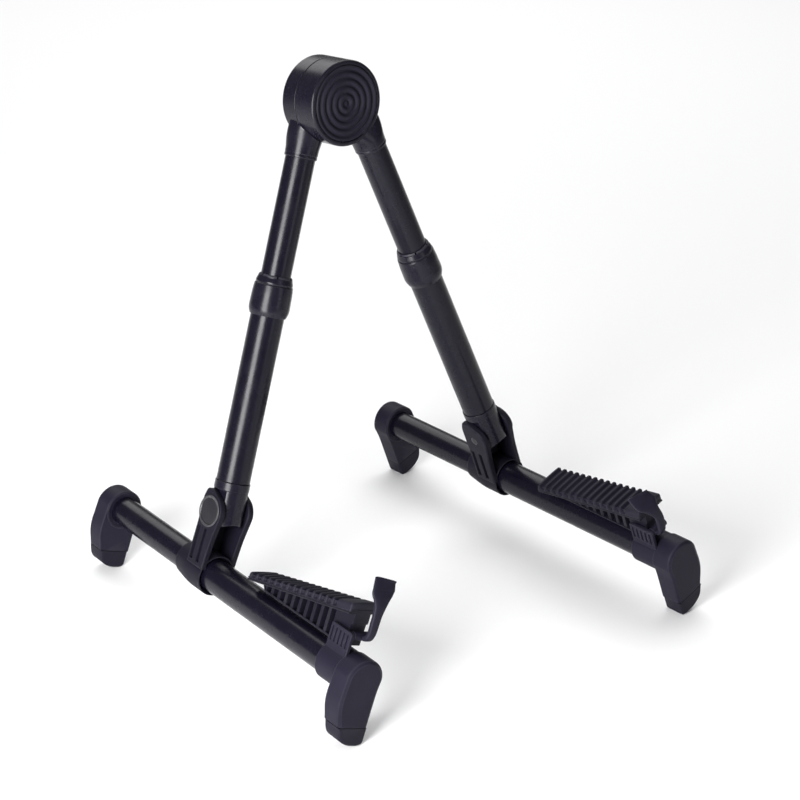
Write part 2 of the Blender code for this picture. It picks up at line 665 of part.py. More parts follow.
def build_yoke(side, out, foot, looks):
    """The fold joint's fork: a sleeve round the foot tube, two grooved cheeks and a rear web."""
    bore = OUTER_TUBE_RADIUS + FIT
    lip_bore = INNER_TUBE_RADIUS + FIT
    cone_end = YOKE_BACK + YOKE_CONE_LENGTH
    sleeve = [(lip_bore, -YOKE_BACK), (YOKE_BACK_RADIUS - BREAK, -YOKE_BACK),
              (YOKE_BACK_RADIUS, -YOKE_BACK - BREAK), (YOKE_RADIUS, -cone_end),
              (YOKE_RADIUS, -YOKE_FRONT + 2 * BREAK), (YOKE_RADIUS - 2 * BREAK, -YOKE_FRONT),
              (bore, -YOKE_FRONT), (bore, -YOKE_BACK - YOKE_LIP), (lip_bore, -YOKE_BACK - YOKE_LIP)]
    yoke = make_piece(f"{side}_yoke", turned(sleeve, TUBE_STEPS, closed=True, axis='Y'),
                      looks["plastic"], foot)
    outer = YOKE_RADIUS
    inner = YOKE_RADIUS - CHEEK_THICKNESS
    outline = [(forward, up + PIVOT_HEIGHT) for forward, up in cheek_outline()]
    tongue_sweep = math.hypot(TONGUE_WAVE, TONGUE_TOE) + RUNNING_FIT
    root = OUTER_TUBE_RADIUS + CHEEK_ROOT_DEPTH
    web = block((-inner - OVERCUT, inner + OVERCUT), (-CHEEK_WAIST_BACK, -CHEEK_WAIST_BACK + WEB_THICKNESS),
                (root, PIVOT_HEIGHT - tongue_sweep))
    for low in (-outer, inner):
        cheek = make_piece(f"{side}_cheek_{'a' if low < 0 else 'b'}", prism(outline, low, low + CHEEK_THICKNESS),
                           looks["plastic"], foot)
        soften(cheek, CHEEK_EDGE, 1)
        cut(cheek, rod(root, -PIVOT_HEIGHT, PIVOT_HEIGHT, TUBE_STEPS, axis='Y'))
        attach(yoke, cheek, 'UNION')
    add(yoke, web)
    pin_hole = moved(rod(PIN_RADIUS + FIT, -outer - OVERCUT, outer + OVERCUT, PIN_STEPS, axis='X'),
                     z=PIVOT_HEIGHT)
    cut(yoke, pin_hole)
    face = out * outer
    seat = sorted((face - out * PIVOT_CAP_SINK, face + out * OVERCUT))
    cut(yoke, moved(rod(PIVOT_CAP_RADIUS + FIT, seat[0], seat[1], TUBE_STEPS, axis='X'), z=PIVOT_HEIGHT))
    for station in CHEEK_GROOVE_STATIONS:
        for low in (-outer - OVERCUT, outer - CHEEK_GROOVE_DEPTH):
            cut(yoke, block((low, low + CHEEK_GROOVE_DEPTH + OVERCUT),
                            (station - CHEEK_GROOVE_WIDTH / 2, station + CHEEK_GROOVE_WIDTH / 2),
                            (CHEEK_GROOVE_BOTTOM, CHEEK_GROOVE_TOP)))

    cap_base = outer - PIVOT_CAP_SINK + FIT
    pin_end = cap_base - FIT
    pin = rod(PIN_RADIUS, -outer + FIT, pin_end, PIN_STEPS, axis='X', chamfer=BREAK)
    rim_face = outer + PIVOT_CAP_PROUD
    rim_inside = PIVOT_CAP_RADIUS - PIVOT_CAP_RIM
    cap = [(0, cap_base), (PIVOT_CAP_RADIUS, cap_base), (PIVOT_CAP_RADIUS, rim_face - BREAK),
           (PIVOT_CAP_RADIUS - BREAK, rim_face), (rim_inside, rim_face),
           (rim_inside - BREAK, rim_face - PIVOT_CAP_DISH), (0, rim_face - PIVOT_CAP_DISH)]
    disc = turned(cap, TUBE_STEPS, axis='X')
    for bm in (pin, disc):
        if out < 0:
            bm.transform(Matrix.Rotation(math.pi, 4, 'Z'))
        moved(bm, z=PIVOT_HEIGHT)
    make_piece(f"{side}_pivot_pin", pin, looks["steel"], foot)
    make_piece(f"{side}_pivot_cap", disc, looks["gloss"], foot)


def floor_level(inward):
    """Height of the floor in the foot's frame, at a distance to the inside of the tube axis."""
    return (inward * SIDE_DROP - TUBE_HEIGHT) / FOOT_UP


def cap_outer_reach(drop):
    """Reach of a cap's outer side below its waist, at a drop below the tube axis."""
    share = (drop - CAP_WAIST_DROP) / (SOLE_DEPTH - CAP_WAIST_DROP)
    return CAP_OUTER_REACH + (CAP_TOE_OFFSET - CAP_OUTER_REACH) * share


def cap_outline(out, bottom, inset=0.0):
    """Foot cap seen from the front: round over the tube, tapering down to the sole.

    Above `bottom` it is the whole cap; the sole ends where the level floor meets its inner corner.
    """
    crown = arc((0, 0), CAP_RADIUS - inset, CAP_CROWN_START, CAP_CROWN_END, CAP_CROWN_STEPS)
    inner = CAP_INNER_REACH - inset
    low = -bottom
    right = [(inner, -CAP_SHOULDER_DROP)]
    left = [(-cap_outer_reach(bottom) + inset, low), (-CAP_OUTER_REACH + inset, -CAP_WAIST_DROP)]
    floor_meets_bottom = (TUBE_HEIGHT - SOLE_DEPTH * FOOT_UP) / SIDE_DROP
    if floor_level(inner) > low:
        foot = [(inner, floor_level(inner)), (floor_meets_bottom, low)]
    else:
        foot = [(inner, low)]
    points = crown + left[::-1] + foot[::-1] + right[::-1]
    return [(-out * inward, up) for inward, up in points]


def sole_outline(out, top, bottom, inset=0.0, toe=0.0, heel=0.0):
    """The part of the cap outline between two drops below the tube axis, its low corners rounded."""
    inner = CAP_INNER_REACH - inset
    points = [(inner, -top, 0), (-cap_outer_reach(top) + inset, -top, 0),
              (-cap_outer_reach(bottom) + inset, -bottom, toe)]
    if floor_level(inner) > -bottom:
        points += [((TUBE_HEIGHT - bottom * FOOT_UP) / SIDE_DROP, -bottom, 0), (inner, floor_level(inner), heel)]
    else:
        points += [(inner, -bottom, heel)]
    return [(-out * inward, up) for inward, up in rounded(points)]


def build_cap(name, out, foot, start, depth, looks):
    """A foot cap's body with the plug hole for its sole, and the rubber sole itself."""
    cap = make_piece(f"{name}_cap", prism(cap_outline(out, SOLE_PARTING), start, start + depth, plane='XZ'),
                     looks["plastic"], foot)
    soften(cap, CAP_EDGE)
    top = SOLE_PARTING - SOLE_PLUG_HEIGHT - FIT
    hole = sole_outline(out, top, SOLE_PARTING + OVERCUT, SOLE_PLUG_INSET - FIT)
    cut(cap, prism(hole, start + SOLE_PLUG_INSET - FIT, start + depth - SOLE_PLUG_INSET + FIT, plane='XZ'))
    ground = sole_outline(out, SOLE_PARTING + SOLE_JOINT, SOLE_DEPTH, toe=SOLE_TOE_RADIUS, heel=SOLE_HEEL_RADIUS)
    sole = make_piece(f"{name}_sole", prism(ground, start, start + depth, plane='XZ'), looks["rubber"], foot)
    plug = sole_outline(out, SOLE_PARTING - SOLE_PLUG_HEIGHT, SOLE_PARTING + SOLE_JOINT + OVERCUT,
                        SOLE_PLUG_INSET)
    add(sole, prism(plug, start + SOLE_PLUG_INSET, start + depth - SOLE_PLUG_INSET, plane='XZ'))
    return cap


def build_foot_tubes(side, out, foot, looks):
    """Thick front tube, thin rear tube that slides into it, and the cap on each end."""
    make_piece(f"{side}_front_foot_tube",
               ring(OUTER_TUBE_BORE, OUTER_TUBE_RADIUS, -FRONT_TUBE_FRONT, -FRONT_TUBE_BACK, TUBE_STEPS,
                    axis='Y'), looks["tube"], foot)
    make_piece(f"{side}_rear_foot_tube",
               ring(INNER_TUBE_RADIUS - TUBE_WALL, INNER_TUBE_RADIUS, -REAR_TUBE_FRONT, -REAR_TUBE_BACK,
                    TUBE_STEPS, axis='Y'), looks["tube"], foot)

    front = build_cap(f"{side}_front", out, foot, FRONT_CAP_START, FRONT_CAP_DEPTH, looks)
    neck_end = FRONT_CAP_START + 2 * CAP_EDGE
    add(front, rod(CAP_NECK_RADIUS, -neck_end, -FRONT_CAP_NECK_START, TUBE_STEPS, axis='Y', chamfer=2 * BREAK))
    outer = ARM_ROOT_HALF_WIDTH + RUNNING_FIT + BRACKET_WALL
    ear = rounded([(BRACKET_BACK, BRACKET_FOOT, 0), (BRACKET_FRONT, BRACKET_FOOT, 0),
                   (BRACKET_FRONT, BRACKET_TOP, BRACKET_FRONT_RADIUS),
                   (BRACKET_BACK, BRACKET_TOP, BRACKET_BACK_RADIUS)])
    # both feet take the same arm, so the bracket's one ear is on the same side of both
    add(front, prism(ear, -outer, BRACKET_WALL - outer))
    combs = int((BRACKET_FRONT - BRACKET_BACK - 2 * BRACKET_MARGIN) / BRACKET_COMB_PITCH)
    for i in range(combs):
        station = BRACKET_BACK + BRACKET_MARGIN + i * BRACKET_COMB_PITCH
        cut(front, block((-outer - OVERCUT, BRACKET_COMB_DEPTH - outer), (station, station + BRACKET_COMB_WIDTH),
                         (CAP_RADIUS + RUNNING_FIT, BRACKET_TOP - BRACKET_RIM)))
    cut(front, rod(OUTER_TUBE_RADIUS + FIT, -FRONT_TUBE_FRONT - FIT, -FRONT_CAP_NECK_START + OVERCUT,
                   TUBE_STEPS, axis='Y'))
    for station, height, radius in ((ARM_PIN_STATION, ARM_PIN_HEIGHT, ARM_PIN_RADIUS),
                                    (HOOK_PIN_STATION, HOOK_PIN_HEIGHT, HOOK_PIN_RADIUS)):
        cut(front, moved(rod(radius + FIT, -outer - OVERCUT, OVERCUT, PIN_STEPS, axis='X'), y=-station, z=height))

    rear_start = REAR_CAP_START - REAR_CAP_DEPTH
    rear = build_cap(f"{side}_rear", out, foot, rear_start, REAR_CAP_DEPTH, looks)
    cut(rear, rod(INNER_TUBE_RADIUS + FIT, -REAR_CAP_START - OVERCUT, -REAR_TUBE_BACK + FIT, TUBE_STEPS, axis='Y'))
    cut(rear, rod(REAR_CAP_HOOD, -REAR_CAP_START - OVERCUT, -REAR_CAP_START + REAR_CAP_HOOD_DEPTH,
                  TUBE_STEPS, axis='Y'))


def arm_top(forward):
    """Height of the arm's plate under its pad."""
    return ARM_BACK_TOP + ARM_RISE * (forward - ARM_BACK)


def build_arm(side, foot, looks):
    """Cradle arm: a rising plate, a ribbed wedge below it and a root pinned in the bracket."""
    low = ARM_THICKNESS
    rail = rounded([(ARM_BACK, arm_top(ARM_BACK), ARM_TIP_RADIUS),
                    (ARM_BACK, arm_top(ARM_BACK) - low, ARM_TIP_RADIUS),
                    (ARM_FRONT, arm_top(ARM_FRONT) - low, 0), (ARM_FRONT, arm_top(ARM_FRONT), 0)])
    arm = make_piece(f"{side}_arm", prism(rail, -ARM_HALF_WIDTH, ARM_HALF_WIDTH), looks["plastic"], foot)
    back = ARM_BACK + ARM_TIP_RADIUS
    add(arm, prism([(back, arm_top(back) - ARM_RAIL_DROP), (back, arm_top(back) - ARM_RAIL_FOOT),
                    (ARM_FRONT, arm_top(ARM_FRONT) - ARM_RAIL_FOOT),
                    (ARM_FRONT, arm_top(ARM_FRONT) - ARM_RAIL_DROP)], -ARM_RAIL_HALF_WIDTH, ARM_RAIL_HALF_WIDTH))
    wedge_front = HOOK_PIN_STATION - HOOK_BARREL_RADIUS - HOOK_BARREL_GAP
    wedge = [(FAN_BACK, arm_top(FAN_BACK) - low + OVERCUT), (FAN_BACK + FAN_BACK_SLOPE, FAN_BOTTOM),
             (ARM_ROOT_BACK, FAN_BOTTOM), (ARM_ROOT_BACK, ARM_ROOT_BOTTOM), (wedge_front, ARM_ROOT_BOTTOM),
             (wedge_front, ARM_CHIN_BACK), (ARM_FRONT, ARM_CHIN_FRONT),
             (ARM_FRONT, arm_top(ARM_FRONT) - low + OVERCUT)]
    add(arm, prism(wedge, -FAN_HALF_WIDTH, FAN_HALF_WIDTH))
    floor = FAN_BOTTOM + FAN_FRAME
    station = ARM_BACK + (floor + FAN_CROWN + low + FAN_SLOT_LEAST - ARM_BACK_TOP) / ARM_RISE
    while station + FAN_RIB_PITCH < ARM_ROOT_BACK + FAN_CROWN:
        ahead = station + FAN_RIB_PITCH - FAN_RIB_WIDTH
        slot = [(station, floor), (ahead, floor), (ahead, arm_top(ahead) - low - FAN_CROWN),
                (station, arm_top(station) - low - FAN_CROWN)]
        for inner, outer in ((-FAN_HALF_WIDTH - OVERCUT, -FAN_WEB_HALF), (FAN_WEB_HALF, FAN_HALF_WIDTH + OVERCUT)):
            cut(arm, prism(slot, inner, outer))
        station += FAN_RIB_PITCH
    cut(arm, moved(rod(ARM_PIN_RADIUS + FIT, -ARM_HALF_WIDTH - OVERCUT, ARM_HALF_WIDTH + OVERCUT, PIN_STEPS,
                       axis='X'), y=-ARM_PIN_STATION, z=ARM_PIN_HEIGHT))

    sections = []

    def pad_section(forward, ridge):
        """An upside-down channel over the arm's plate, its outside raised by the ridge height."""
        share = (forward - ARM_BACK) / (ARM_FRONT - ARM_BACK)
        top = arm_top(forward) + FIT
        crown = top + PAD_BACK_THICKNESS + (PAD_FRONT_THICKNESS - PAD_BACK_THICKNESS) * share
        wide = ARM_HALF_WIDTH + FIT + PAD_WIDTH_OVER + ridge / 2
        hem = top - PAD_SKIRT
        corner = PAD_CORNER
        inner = ARM_HALF_WIDTH + FIT
        upper = crown - PAD_RIB_HEIGHT + ridge
        shape = [(-wide, hem), (-wide, upper - corner), (-wide + corner, upper), (wide - corner, upper),
                 (wide, upper - corner), (wide, hem), (inner, hem), (inner, top), (-inner, top), (-inner, hem)]
        return [(x, -forward, z) for x, z in shape]

    pad_back = ARM_BACK + PAD_TIP_BARE
    ribbed_end = ARM_FRONT - PAD_FRONT_SMOOTH
    ribs = int((ribbed_end - pad_back) / PAD_RIB_PITCH)
    for i in range(ribs):
        start = pad_back + i * PAD_RIB_PITCH
        for share, ridge in ((0.0, 1.0), (0.42, 1.0), (0.54, 0.0), (0.88, 0.0)):
            sections.append(pad_section(start + share * PAD_RIB_PITCH, ridge * PAD_RIB_HEIGHT))
    smooth_start = pad_back + ribs * PAD_RIB_PITCH
    sections.append(pad_section(smooth_start, PAD_RIB_HEIGHT))
    sections.append(pad_section(ARM_FRONT - PAD_END_EDGE, PAD_RIB_HEIGHT))
    sections.append(pad_section(ARM_FRONT, 0.0))
    make_piece(f"{side}_arm_pad", loft(sections), looks["rubber"], foot)

    reach = ARM_ROOT_HALF_WIDTH + RUNNING_FIT + BRACKET_WALL - FIT
    for name, radius, station, height in (("arm", ARM_PIN_RADIUS, ARM_PIN_STATION, ARM_PIN_HEIGHT),
                                          ("hook", HOOK_PIN_RADIUS, HOOK_PIN_STATION, HOOK_PIN_HEIGHT)):
        pin = rod(radius, -reach, ARM_ROOT_HALF_WIDTH, PIN_STEPS, axis='X', chamfer=BREAK)
        make_piece(f"{side}_{name}_pin", moved(pin, y=-station, z=height), looks["steel"], foot)


def build_hook(side, out, hook, looks):
    """Retaining hook in its pin's frame: a barrel, a short foot, a stem and a flared head."""
    half = HOOK_THICKNESS / 2
    base = HOOK_HEAD_BASE - HOOK_PIN_HEIGHT
    top = HOOK_TOP - HOOK_PIN_HEIGHT
    flare = HOOK_HEAD_INNER - HOOK_STEM_INNER

    def station(back, rise, nib, widening):
        """A path point (forward, up) with the reach inward of its outer and inner edge.

        `back` is the share of the head's lean, `rise` the share of the way from the neck to the top.
        """
        point = (HOOK_STEM_FORWARD - HOOK_HEAD_LEAN * back, base + (top - base) * rise)
        return point, HOOK_STEM_OUTER - HOOK_NIB * nib, HOOK_STEM_INNER + flare * widening

    path = [((0.0, 0.0), HOOK_STEM_OUTER, HOOK_STEM_INNER),
            ((HOOK_STEM_FORWARD * HOOK_HEEL_SHARE, 0.0), HOOK_STEM_OUTER, HOOK_STEM_INNER),
            ((HOOK_STEM_FORWARD - HOOK_BEND, HOOK_BEND), HOOK_STEM_OUTER, HOOK_STEM_INNER),
            ((HOOK_STEM_FORWARD, HOOK_BEND_TOP), HOOK_STEM_OUTER, HOOK_STEM_INNER),
            station(0.0, -0.33, 0.0, 0.04), station(0.06, 0.0, 0.0, 0.22), station(0.3, 0.35, 1.0, 0.63),
            station(0.48, 0.55, 1.0, 0.82), station(0.6, 0.68, 0.0, 0.94), station(1.0, 1.0, -0.5, 1.0)]
    points = [Vector(item[0]) for item in path]
    sections = []
    for i, (point, low, high) in enumerate(path):
        before = points[max(i - 1, 0)]
        after = points[min(i + 1, len(points) - 1)]
        along = (after - before).normalized()
        across = Vector((-along.y, along.x)) * half
        centre = points[i]
        near = low + HOOK_EDGE
        far = high - HOOK_EDGE
        shape = [(low, -HOOK_EDGE_SHARE), (near, -1), (far, -1), (high, -HOOK_EDGE_SHARE),
                 (high, HOOK_EDGE_SHARE), (far, 1), (near, 1), (low, HOOK_EDGE_SHARE)]
        sections.append([(-out * inward, -(centre.x + across.x * thick), centre.y + across.y * thick)
                         for inward, thick in shape])
    barrel_half = ARM_ROOT_HALF_WIDTH
    piece = make_piece(f"{side}_hook", loft(sections), looks["plastic"], hook)
    add(piece, rod(HOOK_BARREL_RADIUS, -barrel_half, barrel_half, PIN_STEPS, axis='X'))
    cut(piece, rod(HOOK_PIN_RADIUS + FIT, -barrel_half - OVERCUT, barrel_half + OVERCUT, PIN_STEPS, axis='X'))


def centre_on_floor(stand):
    """Shift the whole stand so that its bounding box stands on the origin."""
    bpy.context.view_layer.update()
    depsgraph = bpy.context.evaluated_depsgraph_get()
    low = Vector((math.inf,) * 3)
    high = Vector((-math.inf,) * 3)
    for piece in bpy.data.objects:
        if piece.type != 'MESH' or piece.hide_render:
            continue
        mesh = piece.evaluated_get(depsgraph).to_mesh()
        for vert in mesh.vertices:
            point = piece.matrix_world @ vert.co
            low = Vector(map(min, low, point))
            high = Vector(map(max, high, point))
    stand.location = (-(low.x + high.x) / 2, -(low.y + high.y) / 2, 0)


def main():
    clear_scene()
    looks = {
        "plastic": make_material("satin black plastic", (0.014, 0.014, 0.017), 0.46),
        "gloss": make_material("polished black plastic", (0.02, 0.02, 0.023), 0.25),
        "tube": make_material("black painted tube", (0.010, 0.010, 0.012), 0.30, 0.25),
        "rubber": make_material("black rubber", (0.018, 0.018, 0.021), 0.72),
        "nylon": make_material("black nylon", (0.016, 0.016, 0.018), 0.55),
        "steel": make_material("blackened steel", (0.08, 0.08, 0.085), 0.38, 0.9),
    }
    stand = make_empty("stand")
    hub = make_empty("hub_axis", stand, (0, 0, HUB_HEIGHT), (-FRAME_LEAN, 0, 0))
    legs = {}
    for side, out in SIDES:
        legs[side] = make_empty(f"{side}_leg_axis", hub, (0, -out * LEG_DEPTH_OFFSET, 0),
                                (0, -out * LEG_SPREAD, 0))
    build_hub(hub, legs, looks)
    for side, out in SIDES:
        apex_height = (HUB_HEIGHT + out * LEG_DEPTH_OFFSET * math.sin(FRAME_LEAN)
                       + LEG_SIDE_OFFSET * SIDE_DROP)
        reach = (apex_height - TUBE_HEIGHT - PIVOT_HEIGHT * FOOT_UP) / LEG_DROP
        line = make_empty(f"{side}_leg_line", legs[side], (out * LEG_SIDE_OFFSET, 0, -reach))
        build_upper_leg(side, line, reach - SOCKET_BORE_TOP - FIT, looks)
        build_lower_leg(side, line, looks)
        fold = make_empty(f"{side}_fold_axis", line, rotation=(LEG_IN_FOOT, 0, 0))
        foot = make_empty(f"{side}_foot", fold, (0, 0, -PIVOT_HEIGHT))
        build_yoke(side, out, foot, looks)
        build_foot_tubes(side, out, foot, looks)
        build_arm(side, foot, looks)
        hook = make_empty(f"{side}_hook_axis", foot, (0, -HOOK_PIN_STATION, HOOK_PIN_HEIGHT))
        build_hook(side, out, hook, looks)
    centre_on_floor(stand)


main()
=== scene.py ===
"""Folding guitar stand: finished surfaces, materials, floor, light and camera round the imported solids.

Every surface is worked out in the stand's own local places: a leg's place has its origin on the fold
pivot and Z up the leg, a foot's place has its origin on the tube axis below the pivot, X across, Y to
the back and Z up. Stations along a foot are measured forward, which is -Y. All lengths are metres.
"""

import json
import math

import bmesh
import bpy
import numpy as np
from bpy.props import FloatProperty, FloatVectorProperty, PointerProperty
from mathutils import Matrix


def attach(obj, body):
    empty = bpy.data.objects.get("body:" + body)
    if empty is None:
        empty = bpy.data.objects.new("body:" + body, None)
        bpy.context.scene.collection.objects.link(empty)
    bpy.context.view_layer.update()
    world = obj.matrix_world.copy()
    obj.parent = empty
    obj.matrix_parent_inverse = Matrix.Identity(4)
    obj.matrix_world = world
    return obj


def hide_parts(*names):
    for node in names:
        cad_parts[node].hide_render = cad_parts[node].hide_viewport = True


bl_info = {
    "name": "Folding guitar stand",
    "version": (1, 0, 0),
    "blender": (4, 5, 0),
    "location": "3D View > Sidebar > Guitar Stand",
    "description": "Builds the finished surfaces and materials of a folding guitar stand",
    "category": "Object",
}

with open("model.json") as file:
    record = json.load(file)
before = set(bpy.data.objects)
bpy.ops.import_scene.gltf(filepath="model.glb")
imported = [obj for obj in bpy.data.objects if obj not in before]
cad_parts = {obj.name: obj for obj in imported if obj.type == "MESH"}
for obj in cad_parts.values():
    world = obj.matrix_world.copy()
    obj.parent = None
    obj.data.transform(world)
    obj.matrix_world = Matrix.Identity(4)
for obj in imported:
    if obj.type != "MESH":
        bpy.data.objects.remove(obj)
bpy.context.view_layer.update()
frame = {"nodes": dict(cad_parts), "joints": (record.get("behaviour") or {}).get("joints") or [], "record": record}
JOINTS = {joint["name"]: joint for joint in frame["joints"]}
SIDES = (("left", -1.0), ("right", 1.0))

# Clearance, and how far a profile that ends on its axis stays off it
FIT = 0.0003
NEAR_AXIS = 0.0002

# Stance and tubes
PIVOT_HEIGHT = 0.0472
TUBE_HEIGHT = 0.0484
LEG_DEPTH_OFFSET = 0.0086
LEG_SIDE_OFFSET = 0.0105
INNER_TUBE = 0.011
OUTER_TUBE = 0.0125
TUBE_WALL = 0.0012
UPPER_TUBE_LENGTH = 0.149
LOWER_TUBE_LENGTH = 0.1425
FRONT_TUBE_SPAN = (-0.1805, 0.0225)
REAR_TUBE_SPAN = (-0.0255, 0.1275)

# Hub
HUB_RADIUS = 0.031
HUB_HALF = 0.018
HUB_BORE = 0.0033
HUB_SEAM = 0.003
HUB_SEAM_GAP = 0.0006
PAD_RADIUS = 0.0273
PAD_RECESS = 0.0026
PAD_RINGS = 5
SOCKET_LENGTH = 0.045
SOCKET_BORE_TOP = 0.0365

# Leg joint
KNUCKLE_TOP = 0.0235
SHOULDER = 0.0172
SLEEVE_RADIUS = 0.0131
TONGUE_HALF = 0.0102
TONGUE_BACK = 0.0082
TONGUE_TOE = 0.0107
TONGUE_ARCH = 0.0034
COLLAR_GRIP = 0.0183
COLLAR_LENGTH = 0.0285
COLLAR_RADIUS = 0.015
YOKE_RADIUS = 0.0155
YOKE_FRONT = 0.009
YOKE_BACK = 0.0275
CHEEK_THICKNESS = 0.005
PIVOT_CAP_RADIUS = 0.0117
PIVOT_PIN_RADIUS = 0.0035
GROOVE_STATIONS = (-0.0068, 0.0016)
GROOVE_HALF = 0.0019
GROOVE_BOTTOM = 0.008
GROOVE_TOP = 0.0335
WEB_BACK = -0.011
WEB_FRONT = -0.0087

# Foot caps
CAP_RADIUS = 0.0157
CAP_INNER = 0.0145
CAP_OUTER = 0.0168
CAP_WAIST = 0.019
CAP_TOE = 0.0065
SOLE_PARTING = 0.034
SOLE_DEPTH = 0.048
CAP_SPANS = {"front": (0.1771, 0.1941), "rear": (-0.1385, -0.1220)}
NECK_RADIUS = 0.0147
EAR_SPAN = (0.1555, 0.1785)
COMB_FIRST = 0.1574
COMB_PITCH = 0.0042
COMB_SLOT = 0.0019

# Cradle
ARM_BACK = 0.0575
ARM_FRONT = 0.1725
ARM_BACK_TOP = 0.0210
ARM_RISE = 0.200
ARM_PLATE = 0.003
ARM_HALF = 0.0105
RAIL_HALF = 0.0129
FAN_BACK = 0.070
FAN_END = 0.158
FAN_FLOOR = 0.0152
FAN_FIRST = 0.0755
FAN_HALF = 0.0067
FAN_PITCH = 0.0080
FAN_RIB = 0.0034
ROOT_FLOOR = 0.0170
ROOT_FRONT = 0.1708
ROOT_HALF = 0.0069
EAR_IN = ROOT_HALF + 0.0005
EAR_OUT = EAR_IN + 0.0028
ARM_PIN = (0.163, 0.0228, 0.002)
HOOK_PIN = (0.1752, 0.0262, 0.0016)
PAD_RIB_PITCH = 0.0070
PAD_RIB = 0.0025
PAD_SMOOTH_FRONT = 0.0150


def joint_axis(name, turn=1.0):
    """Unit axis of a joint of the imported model."""
    axis = turn * np.array(JOINTS[name]["axis"], float)
    return axis / np.linalg.norm(axis)


def joint_point(name):
    """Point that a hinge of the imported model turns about."""
    return np.array(JOINTS[name]["pos_m"], float)


def hub_place():
    """Origin on the hub bolt, Y to the back along it, Z up in the frame's plane."""
    back = joint_axis("hub_fold", -1.0)
    across = np.array([1.0, 0.0, 0.0])
    return joint_point("hub_fold"), np.array([across, back, np.cross(across, back)])


def leg_place(side):
    """Origin on the fold pivot, Z up the leg's centre line, Y along the hub bolt."""
    up = joint_axis(f"{side}_leg_slide", -1.0)
    back = joint_axis("hub_fold", -1.0)
    return joint_point(f"{side}_foot_fold"), np.array([np.cross(back, up), back, up])


def foot_place(side):
    """Origin on the foot tube's axis below the pivot, X along the pivot, Y along the tube."""
    across = joint_axis(f"{side}_hook_flip")
    back = joint_axis(f"{side}_rear_foot_slide")
    up = np.cross(across, back)
    return joint_point(f"{side}_foot_fold") - PIVOT_HEIGHT * up, np.array([across, back, up])


def hook_place(side):
    """The foot's axes, with the origin on the hook's pin."""
    return joint_point(f"{side}_hook_flip"), foot_place(side)[1]


def leg_reach(side, out):
    """Distance up the leg from its fold pivot to the height of the hub bolt."""
    origin, rows = leg_place(side)
    hub, hub_rows = hub_place()
    return float((hub - out * LEG_DEPTH_OFFSET * hub_rows[1] - origin) @ rows[2])


def smooth(value, low, high):
    """0 below low, 1 above high, and 3t^2 - 2t^3 of the share t between them."""
    t = np.clip((np.asarray(value, float) - low) / (high - low), 0.0, 1.0)
    return t * t * (3.0 - 2.0 * t)


def window(value, low, high, soft):
    """1 between low and high and 0 beyond them, with a soft step on each side."""
    return smooth(value, low - soft, low + soft) * (1 - smooth(value, high - soft, high + soft))


def eased(corners, reach, steps=6, closed=True, guard=0.6):
    """Polyline whose corners become parabolic bends.

    Corner C turns into (1-t)^2 A + 2t(1-t) C + t^2 B, where A and B lie `reach` from C along its two
    sides, or 0.45 of a short side. A guard point further out on each side keeps the flats flat.
    """
    corners = np.asarray(corners, float)
    reach = np.broadcast_to(np.asarray(reach, float), (len(corners),))
    if closed:
        middle, before, after, near = corners, np.roll(corners, 1, 0), np.roll(corners, -1, 0), reach
    else:
        middle, before, after, near = corners[1:-1], corners[:-2], corners[2:], reach[1:-1]
    to_before, to_after = before - middle, after - middle
    length_before = np.linalg.norm(to_before, axis=1)
    length_after = np.linalg.norm(to_after, axis=1)
    to_before = to_before / length_before[:, None]
    to_after = to_after / length_after[:, None]
    bend = np.minimum(near, 0.45 * np.minimum(length_before, length_after))
    guard_before = np.minimum(bend * (1 + guard), 0.48 * length_before)[:, None]
    guard_after = np.minimum(bend * (1 + guard), 0.48 * length_after)[:, None]
    start = middle + to_before * bend[:, None]
    end = middle + to_after * bend[:, None]
    t = np.linspace(0.0, 1.0, steps + 1)[None, :, None]
    curve = (1 - t) ** 2 * start[:, None] + 2 * t * (1 - t) * middle[:, None] + t ** 2 * end[:, None]
    points = np.concatenate([(middle + to_before * guard_before)[:, None], curve,
                             (middle + to_after * guard_after)[:, None]], axis=1).reshape(-1, 2)
    if closed:
        return points
    return np.concatenate([corners[:1], points, corners[-1:]])


def arc(centre, radius, start, end, steps):
    """Points on a circle from one angle to another, in degrees."""
    angle = np.radians(np.linspace(start, end, steps + 1))
    return np.stack([centre[0] + radius * np.cos(angle), centre[1] + radius * np.sin(angle)], -1)


def resample(outline, count):
    """Closed outline walked at equal arc lengths."""
    ring = np.concatenate([outline, outline[:1]])
    length = np.concatenate([[0.0], np.cumsum(np.linalg.norm(np.diff(ring, axis=0), axis=1))])
    walk = np.linspace(0.0, length[-1], count, endpoint=False)
    return np.stack([np.interp(walk, length, ring[:, 0]), np.interp(walk, length, ring[:, 1])], -1)


def inward(outline):
    """Unit normals of a closed outline, pointing inside: the chord of its neighbours turned a quarter."""
    chord = np.roll(outline, -1, 0) - np.roll(outline, 1, 0)
    normal = np.stack([-chord[:, 1], chord[:, 0]], -1)
    normal /= np.maximum(np.linalg.norm(normal, axis=1), 1e-12)[:, None]
    after = np.roll(outline, -1, 0)
    area = np.sum(outline[:, 0] * after[:, 1] - after[:, 0] * outline[:, 1])
    return normal * np.sign(area)


def spline(knots, count):
    """Catmull-Rom curve through the knots: each span is the cubic of its ends and their neighbours."""
    knots = np.asarray(knots, float)
    padded = np.concatenate([2 * knots[:1] - knots[1:2], knots, 2 * knots[-1:] - knots[-2:-1]])
    walk = np.linspace(0.0, len(knots) - 1 - 1e-9, count)
    i = walk.astype(int)
    t = (walk - i)[:, None]
    a, b, c, d = padded[i], padded[i + 1], padded[i + 2], padded[i + 3]
    return 0.5 * (2 * b + (c - a) * t + (2 * a - 5 * b + 4 * c - d) * t ** 2
                  + (3 * b - a - 3 * c + d) * t ** 3)


